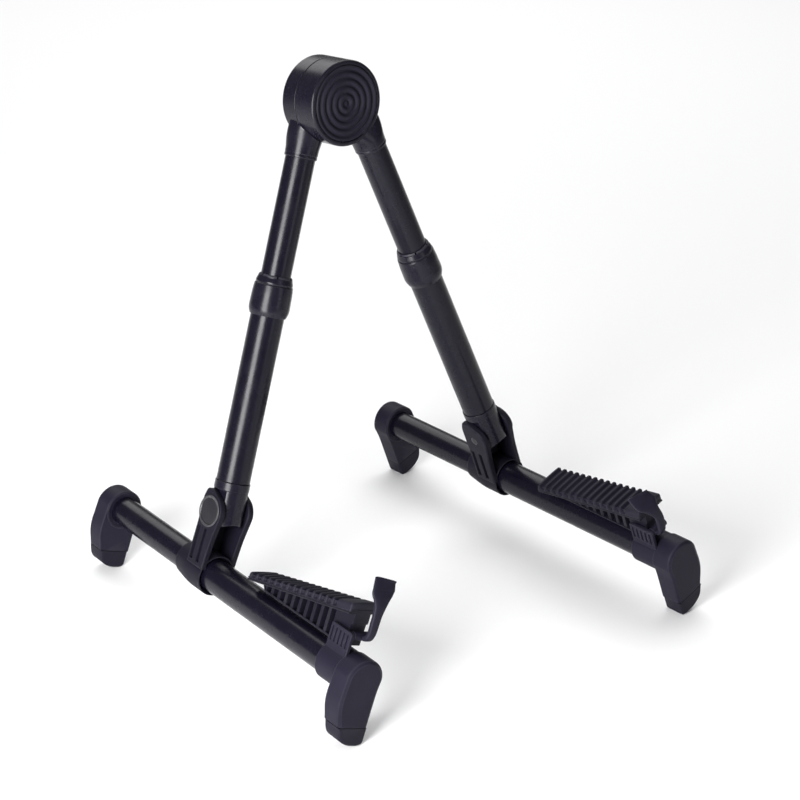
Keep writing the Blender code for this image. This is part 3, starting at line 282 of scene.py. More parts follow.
def turn(profile, steps=96, axis="Z", twist=None):
    """Surface of revolution: each (radius, station) point is carried round the axis.

    `twist(angle)` gives an extra (radius, station) offset for each profile point and angle.
    """
    profile = np.asarray(profile, float)
    angle = np.linspace(0.0, math.tau, steps, endpoint=False)
    radius = profile[:, 0, None] + 0 * angle
    station = profile[:, 1, None] + 0 * angle
    if twist is not None:
        radius, station = twist(radius, station, angle)
    a, b = radius * np.cos(angle), radius * np.sin(angle)
    order = {"Z": (a, b, station), "Y": (a, station, b), "X": (station, a, b)}[axis]
    return np.stack(order, -1)


def turned(corners, reach, steps=5, count=128, axis="Y", closed=True):
    """Profile with its corners eased, turned round an axis."""
    return turn(eased(corners, reach, steps, closed), count, axis)


def rim_round(edge, steps):
    """Quarter round: ring k is drawn in by edge(1 - sin) and stands edge(1 - cos) inside the face."""
    t = np.linspace(0.0, math.pi / 2, steps)
    return edge * (1 - np.sin(t)), edge * (1 - np.cos(t))


def drawn_in(outline, inset):
    """Closed outline repeated once for each inset and drawn in by it."""
    return outline[None] + inward(outline)[None] * inset[:, None, None]


def plate(outline, low, high, edge):
    """Outline (forward, up) carried across a thickness along X with quarter-round rims."""
    draw, sink = rim_round(edge, 5)
    inset = np.concatenate([[edge + 0.0004], draw])
    depth = np.concatenate([[0.0], sink])
    drawn = drawn_in(outline, np.concatenate([inset, inset[::-1]]))
    side = np.concatenate([low + depth, high - depth[::-1]])
    return np.stack([side[:, None] + 0 * drawn[..., 0], -drawn[..., 0], drawn[..., 1]], -1)


def outline_span(outline, stations):
    """Lowest and highest point of a closed outline over each station."""
    start, end = outline, np.roll(outline, -1, 0)
    run = end[:, 0] - start[:, 0]
    share = (stations[:, None] - start[None, :, 0]) / np.where(np.abs(run) < 1e-12, 1e-12, run)
    height = start[None, :, 1] + share * (end[:, 1] - start[:, 1])[None]
    missed = (share < -1e-6) | (share > 1 + 1e-6)
    return (np.where(missed, np.inf, height).min(1), np.where(missed, -np.inf, height).max(1))


def rim_distance(points, outline):
    """Distance of each point to a closed outline: the least over its sides."""
    start = outline
    side = np.roll(outline, -1, 0) - start
    offset = points[:, None] - start[None]
    share = np.clip((offset * side).sum(-1) / np.maximum((side ** 2).sum(-1), 1e-18), 0, 1)
    return np.linalg.norm(offset - share[..., None] * side[None], axis=-1).min(1)


def soft_pair(value, soft):
    """A value less and more a little, for the two rows that bound a soft step."""
    return np.array([value - soft, value + soft])


def grooved_plate(outline, low, high, edge, grooves, depth, faces):
    """Plate over an outline (forward, up) between two X stations, with round rims and sunk grooves.

    Over each point of the outline's inside both faces stand in by edge(1 - sqrt(1 - (1 - d/edge)^2)),
    where d is the distance to the rim, and by the groove's depth where the point lies in a
    (back, front, bottom, top) groove. Columns and rows of the grid follow the groove sides.
    """
    back, front = outline[:, 0].min(), outline[:, 0].max()
    share = (1 - np.cos(np.linspace(0, math.pi, 56))) / 2
    columns = back + (front - back) * share
    soft = 0.00012
    for groove in grooves:
        columns = np.concatenate([columns, soft_pair(groove[0], soft), soft_pair(groove[1], soft)])
    columns = np.sort(columns[(columns >= back) & (columns <= front)])
    lower, upper = outline_span(outline, columns)
    span = (upper - lower)[:, None]
    rim = edge * np.array([0.0, 0.04, 0.13, 0.28, 0.5, 0.75, 1.0, 1.4])
    rim_rows = np.minimum(rim[None], span / 2)
    rows = [lower[:, None] + rim_rows, upper[:, None] - rim_rows[:, ::-1],
            lower[:, None] + span * np.linspace(0.1, 0.9, 9)[None]]
    for groove in grooves:
        levels = np.concatenate([soft_pair(groove[2], soft), soft_pair(groove[3], soft)])
        rows.append(np.clip(levels[None] + 0 * span, lower[:, None], upper[:, None]))
    rows = np.sort(np.concatenate(rows, axis=1), axis=1)
    forward = columns[:, None] + 0 * rows
    flat = np.stack([forward.ravel(), rows.ravel()], -1)
    near = np.clip(1 - rim_distance(flat, outline) / edge, 0, 1).reshape(rows.shape)
    sunk = edge * (1 - np.sqrt(np.maximum(1 - near ** 2, 0)))
    hollow = np.zeros_like(rows)
    for groove in grooves:
        across, along = window(forward, *groove[:2], soft), window(rows, *groove[2:], soft)
        hollow = np.maximum(hollow, depth * across * along)
    near_face = np.stack([low + sunk + hollow * faces[0], -forward, rows], -1)
    far_face = np.stack([high - sunk - hollow * faces[1], -forward, rows], -1)
    return np.concatenate([near_face, far_face[:, ::-1]], axis=1)


def grid_faces(rings, looped):
    """Quads between neighbouring rings, and the two end faces of an open stack, turned outward.

    Outward is settled by the sign of the volume, the sum of p0 . (p1 x p2) / 6 over the triangles.
    """
    count, size = rings.shape[:2]
    i = np.arange(count if looped else count - 1)[:, None]
    j = np.arange(size)[None]
    ahead, beside = (i + 1) % count, (j + 1) % size
    quads = np.stack([i * size + j, i * size + beside, ahead * size + beside, ahead * size + j], -1)
    quads = quads.reshape(-1, 4)
    ends = [] if looped else [np.arange(size)[::-1], (count - 1) * size + np.arange(size)]
    points = rings.reshape(-1, 3)
    centred = points - points.mean(0)
    triangles = np.concatenate([quads[:, :3], quads[:, [0, 2, 3]]]
                               + [np.stack([np.full(size - 2, e[0]), e[1:-1], e[2:]], -1) for e in ends])
    a, b, c = (centred[triangles[:, k]] for k in range(3))
    if np.einsum("ij,ij->", a, np.cross(b, c)) < 0:
        quads = quads[:, ::-1]
        ends = [e[::-1] for e in ends]
    return points, quads, ends


def mark_edges(mesh):
    """Store on each vertex how tightly the surface bends outward there.

    It is the greatest (n1 - n2).(p1 - p2) / |p1 - p2|^2 over the vertex's edges, for unit normals n
    and places p, as a share of the bend of a 0.8 mm radius.
    """
    count = len(mesh.vertices)
    place = np.empty(count * 3, np.float32)
    mesh.vertices.foreach_get("co", place)
    normal = np.empty(count * 3, np.float32)
    mesh.vertex_normals.foreach_get("vector", normal)
    place, normal = place.reshape(-1, 3), normal.reshape(-1, 3)
    pair = np.empty(len(mesh.edges) * 2, np.int32)
    mesh.edges.foreach_get("vertices", pair)
    pair = pair.reshape(-1, 2)
    gap = place[pair[:, 0]] - place[pair[:, 1]]
    turn_of = normal[pair[:, 0]] - normal[pair[:, 1]]
    bend = (gap * turn_of).sum(1) / np.maximum((gap * gap).sum(1), 1e-10)
    worst = np.zeros(count, np.float32)
    np.maximum.at(worst, pair[:, 0], bend)
    np.maximum.at(worst, pair[:, 1], bend)
    layer = mesh.attributes.new("edge_bend", "FLOAT", "POINT")
    layer.data.foreach_set("value", np.clip(worst * 0.0008, 0, 1).astype(np.float32))


def make_piece(context, node, stacks, place, finish, sharp=42.0):
    """Build one object from stacks of rings in a local place, and let it stand for a CAD node.

    A stack is a (rings, points, 3) array, or a pair of one and True where its last ring meets its
    first. The local place of each vertex is kept as an attribute that the materials read.
    """
    origin, rows = place
    points, corners, counts, start = [], [], [], 0
    for stack in stacks:
        rings, looped = stack if isinstance(stack, tuple) else (stack, False)
        local, quads, ends = grid_faces(np.asarray(rings, float), looped)
        points.append(local)
        corners += [quads.ravel() + start] + [end + start for end in ends]
        counts += [np.full(len(quads), 4)] + [np.array([len(end)]) for end in ends]
        start += len(local)
    local, corners, counts = np.concatenate(points), np.concatenate(corners), np.concatenate(counts)
    name = f"{node}_skin"
    mesh = bpy.data.meshes.new(name)
    mesh.vertices.add(len(local))
    mesh.vertices.foreach_set("co", (origin + local @ rows).astype(np.float32).ravel())
    mesh.loops.add(len(corners))
    mesh.loops.foreach_set("vertex_index", corners.astype(np.int32))
    mesh.polygons.add(len(counts))
    mesh.polygons.foreach_set("loop_start", (np.cumsum(counts) - counts).astype(np.int32))
    mesh.update(calc_edges=True)
    layer = mesh.attributes.new("own_place", "FLOAT_VECTOR", "POINT")
    layer.data.foreach_set("vector", local.astype(np.float32).ravel())
    mesh.validate()
    weld(mesh)
    mesh.shade_smooth()
    mesh.set_sharp_from_angle(angle=math.radians(sharp))
    mark_edges(mesh)
    mesh.materials.append(finish_of(context, finish))
    piece = bpy.data.objects.new(name, mesh)
    context.scene.collection.objects.link(piece)
    body = next(b for b, members in frame["record"]["behaviour"]["bodies"].items() if node in members)
    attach(piece, body)
    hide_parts(node)


def weld(mesh):
    """Join vertices that share a place, such as those of a pole, and drop faces without area."""
    bm = bmesh.new()
    bm.from_mesh(mesh)
    bmesh.ops.remove_doubles(bm, verts=bm.verts, dist=2e-6)
    bmesh.ops.dissolve_degenerate(bm, edges=bm.edges, dist=1e-6)
    bm.to_mesh(mesh)
    bm.free()


# Materials


def add_node(tree, kind, inputs=None, **settings):
    """Add a shader node, set its fields, and link or fill the inputs that are given by name."""
    node = tree.nodes.new(kind)
    for key, value in settings.items():
        setattr(node, key, value)
    for key, value in (inputs or {}).items():
        if isinstance(value, bpy.types.NodeSocket):
            tree.links.new(value, node.inputs[key])
        else:
            node.inputs[key].default_value = value
    return node


def surface_finish(name, colour, roughness, grain, relief, spread=0.25, specular=0.5, metallic=0.0,
                   stretch=(1.0, 1.0, 1.0), edge_wear_and_highlight=0.0, own=True):
    """One procedural finish: blotchy colour, uneven gloss, a fine grain in relief, and convex edges lightened
    partly as wear and partly as a painted highlight.

    `grain` is the noise scale of the texture per metre, `relief` its bump height in metres, and
    `stretch` squeezes it along the piece. `own` reads the piece's own place instead of the object's.
    """
    look = bpy.data.materials.new(name)
    look.use_nodes = True
    tree = look.node_tree
    shader = tree.nodes["Principled BSDF"]
    shader.inputs["Specular IOR Level"].default_value = specular
    shader.inputs["Metallic"].default_value = metallic
    if own:
        source = add_node(tree, "ShaderNodeAttribute", attribute_name="own_place").outputs["Vector"]
    else:
        source = add_node(tree, "ShaderNodeTexCoord").outputs["Object"]
    place = add_node(tree, "ShaderNodeMapping", {"Vector": source, "Scale": stretch}).outputs["Vector"]
    cloud = add_node(tree, "ShaderNodeTexNoise", {"Vector": source, "Scale": 70.0, "Detail": 3.0,
                                                  "Roughness": 0.6}).outputs["Fac"]
    fine = add_node(tree, "ShaderNodeTexNoise", {"Vector": place, "Scale": grain, "Detail": 3.0,
                                                 "Roughness": 0.55}).outputs["Fac"]
    dark = tuple(c * (1 - spread) for c in colour)
    light = tuple(c * (1 + spread) for c in colour)
    # the colour sockets of a mix node share their names with its float ones, so they go by position
    paint = add_node(tree, "ShaderNodeMix", {0: cloud, 6: (*dark, 1), 7: (*light, 1)}, data_type="RGBA")
    tint = paint.outputs[2]
    gloss = add_node(tree, "ShaderNodeMapRange", {"Value": cloud, "From Min": 0.3, "From Max": 0.7,
                                                  "To Min": roughness - 0.045, "To Max": roughness + 0.045})
    gloss = gloss.outputs["Result"]
    # convex edges get a lighter colour and a lower roughness: part wear, part painted highlight
    if own and edge_wear_and_highlight:
        bend = add_node(tree, "ShaderNodeAttribute", attribute_name="edge_bend").outputs["Fac"]
        worn_and_lit_edge = add_node(tree, "ShaderNodeMapRange", {"Value": bend, "From Min": 0.25, "From Max": 0.9})
        wear_and_highlight_mask = add_node(tree, "ShaderNodeMath", {0: worn_and_lit_edge.outputs["Result"], 1: cloud}, operation="MULTIPLY")
        pale = (*(c + edge_wear_and_highlight for c in colour), 1)
        lift = add_node(tree, "ShaderNodeMix", {0: wear_and_highlight_mask.outputs[0], 6: tint, 7: pale}, data_type="RGBA")
        tint = lift.outputs[2]
        shine = add_node(tree, "ShaderNodeMath", {0: wear_and_highlight_mask.outputs[0], 1: -0.16, 2: gloss},
                         operation="MULTIPLY_ADD")
        gloss = shine.outputs[0]
    tree.links.new(tint, shader.inputs["Base Color"])
    tree.links.new(gloss, shader.inputs["Roughness"])
    bump = add_node(tree, "ShaderNodeBump", {"Height": fine, "Strength": 1.0, "Distance": relief})
    tree.links.new(bump.outputs["Normal"], shader.inputs["Normal"])
    return look


def finish_of(context, key):
    """The stand's material for a slot, made once from the finish settings."""
    name = f"stand {key}"
    if name in bpy.data.materials:
        return bpy.data.materials[name]
    paint = context.scene.guitar_stand_finish
    moulded = dict(roughness=paint.plastic_roughness, grain=2600.0, relief=0.000014, specular=0.1)
    painted = dict(colour=paint.tube, roughness=paint.tube_roughness, grain=900.0, relief=0.000002,
                   spread=0.15, specular=0.25)
    # the edge value in each recipe lightens convex edges: part wear, part painted highlight
    recipes = {
        "plastic": dict(moulded, colour=paint.plastic, edge_wear_and_highlight=0.012),
        # painted shade: the moulded plastic at 0.6 of its colour, for the yokes and arms, which stand in shadow
        "painted_shade": dict(moulded, colour=tuple(c * 0.6 for c in paint.plastic), edge_wear_and_highlight=0.01),
        "satin": dict(colour=paint.satin, roughness=0.27, grain=2600.0, relief=0.000004, edge_wear_and_highlight=0.01,
                      specular=0.24),
        "gloss": dict(colour=paint.gloss, roughness=0.2, grain=1500.0, relief=0.000003, edge_wear_and_highlight=0.07,
                      specular=0.4),
        "tube": dict(painted, stretch=(1.0, 1.0, 0.12)),
        "foot tube": dict(painted, stretch=(1.0, 0.12, 1.0)),
        "rubber": dict(colour=paint.rubber, roughness=0.6, grain=1900.0, relief=0.00002, spread=0.2,
                       specular=0.13, edge_wear_and_highlight=0.006),
        "nylon": dict(colour=paint.plastic, roughness=0.55, grain=1600.0, relief=0.00001, edge_wear_and_highlight=0.03,
                      specular=0.3),
        "steel": dict(colour=(0.035, 0.034, 0.04), roughness=0.34, grain=2400.0, relief=0.000004,
                      metallic=0.9, edge_wear_and_highlight=0.08),
    }
    return surface_finish(name, **recipes[key])


# Shapes of the pieces

def tube_rings(radius, start, end, axis, lip):
    """Closed profile of a tube wall with rolled lips, turned round its axis."""
    inner = radius - TUBE_WALL
    return turned([(inner, start), (radius, start), (radius, end), (inner, end)], lip, 4, 112, axis)


def socket_rings(reach, out):
    """Leg socket: a superellipse |x/w|^n + |y/d|^n = 1 at each drop below the hub.

    Width w, depth d and power n change with the drop, from a flat-backed root inside the drum to a
    round mouth. Towards the seam y is held at the seam's plane wherever the point lies inside the other
    half's rim, hypot(x + offset, drop) < R, and two rows of the grid run along that circle. The seam
    lies to the back of the right leg and in front of the left one, so `out` gives its side as well.
    """
    angle = np.linspace(0, math.tau, 120, endpoint=False)
    c, s = np.cos(angle), np.sin(angle)
    seam_reach = (HUB_SEAM - out * HUB_SEAM_GAP / 2) * out + LEG_DEPTH_OFFSET
    rim = HUB_RADIUS + 0.0004
    first, last, beside = 0.012, 0.0436, 0.00012
    passing = np.sqrt(rim ** 2 - (0.0134 * c + out * LEG_SIDE_OFFSET) ** 2)
    above, below = np.linspace(0, 1, 22)[:, None], np.linspace(0, 1, 30)[:, None]
    drop = np.concatenate([
        first + (passing - beside - first) * above, passing + beside + (last - passing - beside) * below,
        np.array([0.0440, 0.0447, SOCKET_LENGTH - 0.00012, SOCKET_LENGTH])[:, None] + 0 * c])
    root, root_width = HUB_HALF - LEG_DEPTH_OFFSET - 0.0006, 0.0137
    mouth = 0.0121 - 0.0001 * smooth(drop, 0.042, 0.0435)
    width = root_width + (mouth - root_width) * smooth(drop, 0.024, 0.041)
    away = root + (mouth - root) * smooth(drop, 0.024, 0.039)
    power = np.where(s > 0, 2.0, 3.0 - 1.0 * smooth(drop, 0.026, 0.040))
    lip = 0.0006 * (1 - np.sqrt(1 - ((drop - (SOCKET_LENGTH - 0.0006)) / 0.0006).clip(0, 1) ** 2))
    draw = lip + 0.00035 * np.exp(-((drop - 0.0425) / 0.00035) ** 2)
    x = np.sign(c) * np.abs(c) ** (2 / power)
    y = np.sign(s) * np.abs(s) ** (2 / power) * (np.where(s > 0, width, away) - draw)
    inside = (np.arange(len(drop)) < len(above))[:, None]
    y = np.where(inside, np.minimum(y, seam_reach), y)
    rings = np.stack([(width - draw) * x, out * y, reach - drop], -1)
    run = INNER_TUBE + FIT
    bore_radius = np.array([run + 0.0003, run, run])
    bore_drop = np.array([SOCKET_LENGTH, SOCKET_LENGTH - 0.0004, SOCKET_BORE_TOP])
    bore = np.stack([bore_radius[:, None] * c, out * bore_radius[:, None] * s,
                     reach - bore_drop[:, None] + 0 * c], -1)
    return np.concatenate([rings, bore])


def to_place(rings, source, target):
    """Rings of one local place in the coordinates of another."""
    world = source[0] + rings @ source[1]
    return (world - target[0]) @ target[1].T


def pad_profile():
    """Ringed face of the hub: ridges of H(0.5 - 0.5 cos)^1.5 against the radius, with a small dimple."""
    radius = np.linspace(PAD_RADIUS - 0.0007, NEAR_AXIS, 170)
    pitch = PAD_RADIUS / (PAD_RINGS + 0.1)
    wave = 0.5 - 0.5 * np.cos(math.tau * (PAD_RADIUS - radius) / pitch - 1.15)
    height = 0.00035 - 0.00125 * wave ** 1.5 - 0.0006 * np.exp(-(radius / 0.0011) ** 2)
    face = np.stack([radius, -HUB_HALF - height], -1)
    back = -HUB_HALF + PAD_RECESS - FIT
    rim = np.array([[NEAR_AXIS, back], [PAD_RADIUS, back], [PAD_RADIUS, -HUB_HALF + 0.0004],
                    [PAD_RADIUS - 0.0002, -HUB_HALF], [PAD_RADIUS - 0.00045, face[0, 1]]])
    return np.concatenate([rim, face])


def tongue_rings():
    """Tongue of the knuckle: one outline, a round front and a flat back, carried down the leg.

    The bottom rises by arch(1 - (x/w)^2) towards its middle, and its rim is rounded.
    """
    side = np.linspace(-TONGUE_HALF, TONGUE_HALF, 25)
    front = np.sqrt(SLEEVE_RADIUS ** 2 - side ** 2) - 0.0003
    outline = np.concatenate([np.stack([side, front], -1), [[TONGUE_HALF, -TONGUE_BACK],
                                                            [-TONGUE_HALF, -TONGUE_BACK]]])
    outline = resample(eased(outline, 0.0009, 4), 160)
    edge, flat = 0.0011, 12
    draw, sink = rim_round(edge, 6)
    inset = np.concatenate([[edge + 0.0005], draw, np.zeros(flat)])
    length = SHOULDER + TONGUE_TOE
    rise = np.concatenate([[0.0], sink, np.linspace(0.002, length, flat)])
    drawn = drawn_in(outline, inset)
    arch = TONGUE_ARCH * (1 - (drawn[..., 0] / TONGUE_HALF) ** 2)
    share = rise[:, None] / length
    height = -TONGUE_TOE + rise[:, None] + arch * (1 - share) ** 2
    return np.stack([drawn[..., 0], -drawn[..., 1], height], -1)


def cheek_outline():
    """Yoke cheek as (forward, up) over the tube axis: round nose, ledge behind it, straight legs."""
    lean = math.radians(6.67)
    stop = SHOULDER - 0.0011
    foot, web = -PIVOT_HEIGHT + 0.004, WEB_BACK

    def ledge(back):
        return (-back * math.cos(lean) - stop * math.sin(lean),
                stop * math.cos(lean) - back * math.sin(lean))

    nose = arc((0, 0), 0.0130, -14, 76, 18)
    rest = np.array([ledge(0.0012), ledge(0.0078), (-0.012, 0.0085), (web, -0.012), (web, foot),
                     (0.0087, foot), (0.0095, -0.022)])
    reach = np.concatenate([np.full(len(nose) - 2, 0.0002),
                            [0.0016, 0.0016, 0.003, 0.003, 0.0004, 0.0004, 0.006]])
    return eased(np.concatenate([nose[1:-1], rest]), reach, 6) + [0.0, PIVOT_HEIGHT]


def cap_reach(drop):
    """How far out the cap's tapering side stands at a drop below the tube's axis."""
    return CAP_OUTER + (CAP_TOE - CAP_OUTER) * (drop - CAP_WAIST) / (SOLE_DEPTH - CAP_WAIST)


def cap_outline(bottom):
    """Foot cap from the front as (inward, up): round over the tube, tapering to the sole."""
    crown = arc((0, 0), CAP_RADIUS, 5, 168, 26)
    rest = np.array([(-CAP_OUTER, -CAP_WAIST), (-cap_reach(bottom), -bottom), (CAP_INNER, -bottom),
                     (CAP_INNER, -0.0076)])
    reach = np.concatenate([np.full(len(crown), 0.0003), [0.0075, 0.0005, 0.0005, 0.004]])
    return resample(eased(np.concatenate([crown, rest]), reach, 8), 200)


def cap_rings(out, rear, front, rear_edge, front_edge, towards):
    """Foot cap: its outline carried along the foot, with a round rear rim and a bevelled front face.

    The outline runs on below the parting line, and every point lower than that is raised to it, so the
    bevel doesn't reach the parting. `towards` is +1 where the open side looks to the back, -1 forward.
    """
    t = np.linspace(0, math.pi / 2, 5)
    draw, sink = rim_round(rear_edge, 5)
    inset = np.concatenate([[rear_edge + 0.0025, rear_edge + 0.0004], draw,
                            [0.0, 0.0, 0.0], front_edge * 0.12 * np.sin(t[1:]) ** 2,
                            np.array([0.35, 0.6, 0.85, 0.97, 1.06, 1.3, 1.8, 2.6]) * front_edge])
    length = front - rear
    rise = np.concatenate([[0.0, 0.0], sink, [0.0022, length * 0.4, length - front_edge * 1.5],
                           length - front_edge * (1.2 - 0.5 * t[1:] / t[-1]),
                           length - front_edge * np.array([0.55, 0.38, 0.2, 0.1, 0.06, 0.035, 0.015, 0.0])])
    drawn = drawn_in(cap_outline(SOLE_PARTING + 0.0075), inset)
    station = (rear + rise if towards > 0 else front - rise)[:, None] + 0 * drawn[..., 0]
    return np.stack([-out * drawn[..., 0], -station, np.maximum(drawn[..., 1], -SOLE_PARTING)], -1)


def sole_rings(out, foot_up, side_drop, rear, front):
    """Rubber sole: the cap's outline below the parting line, ending on the level floor.

    The outline starts above the parting line and its higher points are lowered to it, so its front and
    rear rims are round everywhere but there.
    """
    top, above, taper_end, edge = SOLE_PARTING + 0.0005, SOLE_PARTING - 0.005, 0.0435, 0.0020
    corners = np.array([(CAP_INNER, -above), (-cap_reach(top), -above), (-cap_reach(top), -top),
                        (-cap_reach(taper_end), -taper_end), (0.0005, -SOLE_DEPTH + 0.0002),
                        ((TUBE_HEIGHT - SOLE_DEPTH * foot_up) / side_drop, -SOLE_DEPTH),
                        (CAP_INNER, (CAP_INNER * side_drop - TUBE_HEIGHT) / foot_up)])
    outline = resample(eased(corners, [0.0004, 0.0004, 0.0002, 0.0075, 0.0080, 0.002, 0.0055], 8), 150)
    draw, sink = rim_round(edge, 7)
    inset, rise = np.concatenate([[edge + 0.0006], draw]), np.concatenate([[0.0], sink])
    station = np.concatenate([rear + rise, front - rise[::-1]])[:, None]
    drawn = drawn_in(outline, np.concatenate([inset, inset[::-1]]))
    return np.stack([-out * drawn[..., 0], -station + 0 * drawn[..., 0], np.minimum(drawn[..., 1], -top)], -1)


def arm_top(forward):
    """Height of the arm's plate under its pad."""
    return ARM_BACK_TOP + ARM_RISE * (forward - ARM_BACK)


def arm_rings():
    """Cradle arm as one stack of cross sections: plate on top, ribbed fan below.

    Between the ribs the section's middle is drawn in to the web, and at a rib it stands 0.5 mm behind
    the rails above and below it.
    """
    starts = FAN_FIRST + FAN_PITCH * np.arange(20)
    starts = starts[starts + FAN_PITCH < 0.1587]
    open_run = FAN_PITCH - FAN_RIB
    soft, tip_edge = 0.00015, np.array([0.0, 0.0002, 0.0005, 0.0009, 0.0014, 0.0017])
    stations = np.concatenate([
        ARM_BACK + tip_edge, np.linspace(0.0595, 0.170, 40),
        (starts[:, None] + np.array([-soft, soft, open_run - soft, open_run + soft])).ravel(),
        [FAN_BACK - 0.0001, FAN_BACK, FAN_BACK + 0.004, FAN_END - soft, FAN_END + soft, ROOT_FRONT - soft,
         ROOT_FRONT + soft, ARM_FRONT - 0.0005, ARM_FRONT - 0.00015, ARM_FRONT]])
    stations = np.unique(np.round(stations, 6))
    top = arm_top(stations)
    under = top - ARM_PLATE
    tip = np.clip(1 - (stations - ARM_BACK) / 0.0014, 0, 1)
    round_tip = 0.0013 * (1 - np.sqrt(1 - tip ** 2))
    bottom = np.where(stations < FAN_BACK, under, np.interp(
        stations, [FAN_BACK, FAN_BACK + 0.004], [arm_top(FAN_BACK) - ARM_PLATE, FAN_FLOOR]))
    bottom = np.where(stations > FAN_END, ROOT_FLOOR, bottom)
    bottom = np.where(stations > ROOT_FRONT, 0.0325 + 0.6 * (stations - ROOT_FRONT), bottom)
    bottom = np.minimum(bottom, under)
    phase = (stations[:, None] - starts[None])
    slot = ((phase > 0) & (phase < open_run)).any(1)
    ribs = (stations > FAN_BACK) & (stations < FAN_END)
    wedge = FAN_HALF + 0 * top
    middle = np.where(slot, 0.002, np.where(ribs, FAN_HALF - 0.0005, FAN_HALF))
    rail = ARM_HALF + (RAIL_HALF - ARM_HALF) * smooth(stations, ARM_BACK + 0.0013, ARM_BACK + 0.0018)
    floor = np.minimum(bottom + 0.0017, under)
    ceiling = np.maximum(under - 0.0007, floor)
    side = ARM_HALF + 0 * top
    half = np.stack([wedge - 0.0004, wedge, wedge, middle, middle, wedge, wedge, rail - 0.0004, rail, rail,
                     rail - 0.0003, side, side, ARM_HALF - 0.0005 + 0 * top], -1)
    low, high = under + round_tip, top - round_tip
    ledge = np.minimum(top - 0.0016, high - 0.0001)
    level = np.stack([bottom, np.minimum(bottom + 0.0004, floor), floor, floor, ceiling, ceiling, low,
                      low, low + 0.25 * (ledge - low), low + 0.75 * (ledge - low), ledge, ledge,
                      ledge + 0.7 * (high - ledge), high], -1)
    level = np.minimum(level, high[:, None])
    right = np.stack([half, -stations[:, None] + 0 * half, level], -1)
    left = np.stack([-half, -stations[:, None] + 0 * half, level], -1)[:, ::-1]
    return np.concatenate([right, left], axis=1)


def arm_pad_rings():
    """Rubber pad over the arm: an upside-down channel whose outside is ribbed across.

    A point's rib phase is forward / pitch. Ridge height is H s(phase), a wave with narrow ridges and
    wide valleys that run over the top and down both sides to a smooth hem.
    """
    stations = np.concatenate([ARM_BACK + 0.0016 + np.array([0.0, 0.0002, 0.0005]),
                               np.linspace(ARM_BACK + 0.0024, ARM_FRONT - 0.0022, 300),
                               ARM_FRONT - np.array([0.0017, 0.0012, 0.0007, 0.0003, 0.0001, 0.0])])
    share = (stations - ARM_BACK) / (ARM_FRONT - ARM_BACK)
    top = arm_top(stations) + FIT
    crown = top + 0.0029 + 0.0020 * share
    inner = ARM_HALF + FIT
    wide = inner + 0.0018
    hem = -0.0016 + 0 * share
    radius, rows = 0.0019, 9
    side = np.linspace(0, 1, rows)
    across = np.linspace(1, -1, 25)[1:-1]
    corner = np.radians(np.linspace(0, 90, 6)[1:])
    top_z = (crown - top)[:, None]
    outer_x = np.concatenate([np.full(rows, wide), wide - radius + radius * np.cos(corner),
                              (wide - radius) * across, -(wide - radius) - radius * np.sin(corner),
                              np.full(rows, -wide)])
    up = np.concatenate([side, np.ones(len(across) + 2 * len(corner)), side[::-1]])
    fall = np.concatenate([np.zeros(rows), radius * (1 - np.sin(corner)), np.zeros(len(across)),
                           radius * (1 - np.cos(corner)), np.zeros(rows)])
    base = hem[:, None] + (top_z - radius - hem[:, None]) * up[None]
    base = np.where(np.abs(outer_x)[None] < wide - 1e-9, top_z - fall[None], base)
    crowned = 0.0004 * (1 - (outer_x / wide) ** 2)
    normal_x = np.concatenate([np.ones(rows), np.cos(corner), np.zeros(len(across)), -np.sin(corner),
                               -np.ones(rows)])
    normal_z = np.concatenate([np.zeros(rows), np.sin(corner), np.ones(len(across)), np.cos(corner),
                               np.zeros(rows)])
    phase = (stations[:, None] + 0 * base - ARM_BACK - 0.0016) / PAD_RIB_PITCH
    phase = phase - np.floor(phase)
    ridge = smooth(phase, 0.0, 0.14) * (1 - smooth(phase, 0.36, 0.52))
    ribs_end = ARM_FRONT - PAD_SMOOTH_FRONT
    ribbed = 1 - smooth(stations, ribs_end - 0.001, ribs_end + 0.0004)
    ridge = ridge * ribbed[:, None] + (1 - ribbed[:, None])
    foot = smooth(base - hem[:, None], 0.0007, 0.0014)
    lift = PAD_RIB * (ridge - 1) * foot
    ends = 0.0006 * (1 - np.sqrt(1 - np.clip(1 - (ARM_FRONT - stations) / 0.0017, 0, 1) ** 2))
    lift = lift - ends[:, None] * 2
    x = outer_x[None] + normal_x[None] * lift * 0.7
    z = top[:, None] + base + crowned[None] + normal_z[None] * lift
    under_x = np.array([-inner, -inner, inner, inner])[None] + 0 * stations[:, None]
    under_z = top[:, None] + np.stack([hem, 0 * hem, 0 * hem, hem], -1)
    x = np.concatenate([x, under_x], axis=1)
    z = np.concatenate([z, under_z], axis=1)
    return np.stack([x, -stations[:, None] + 0 * x, z], -1)


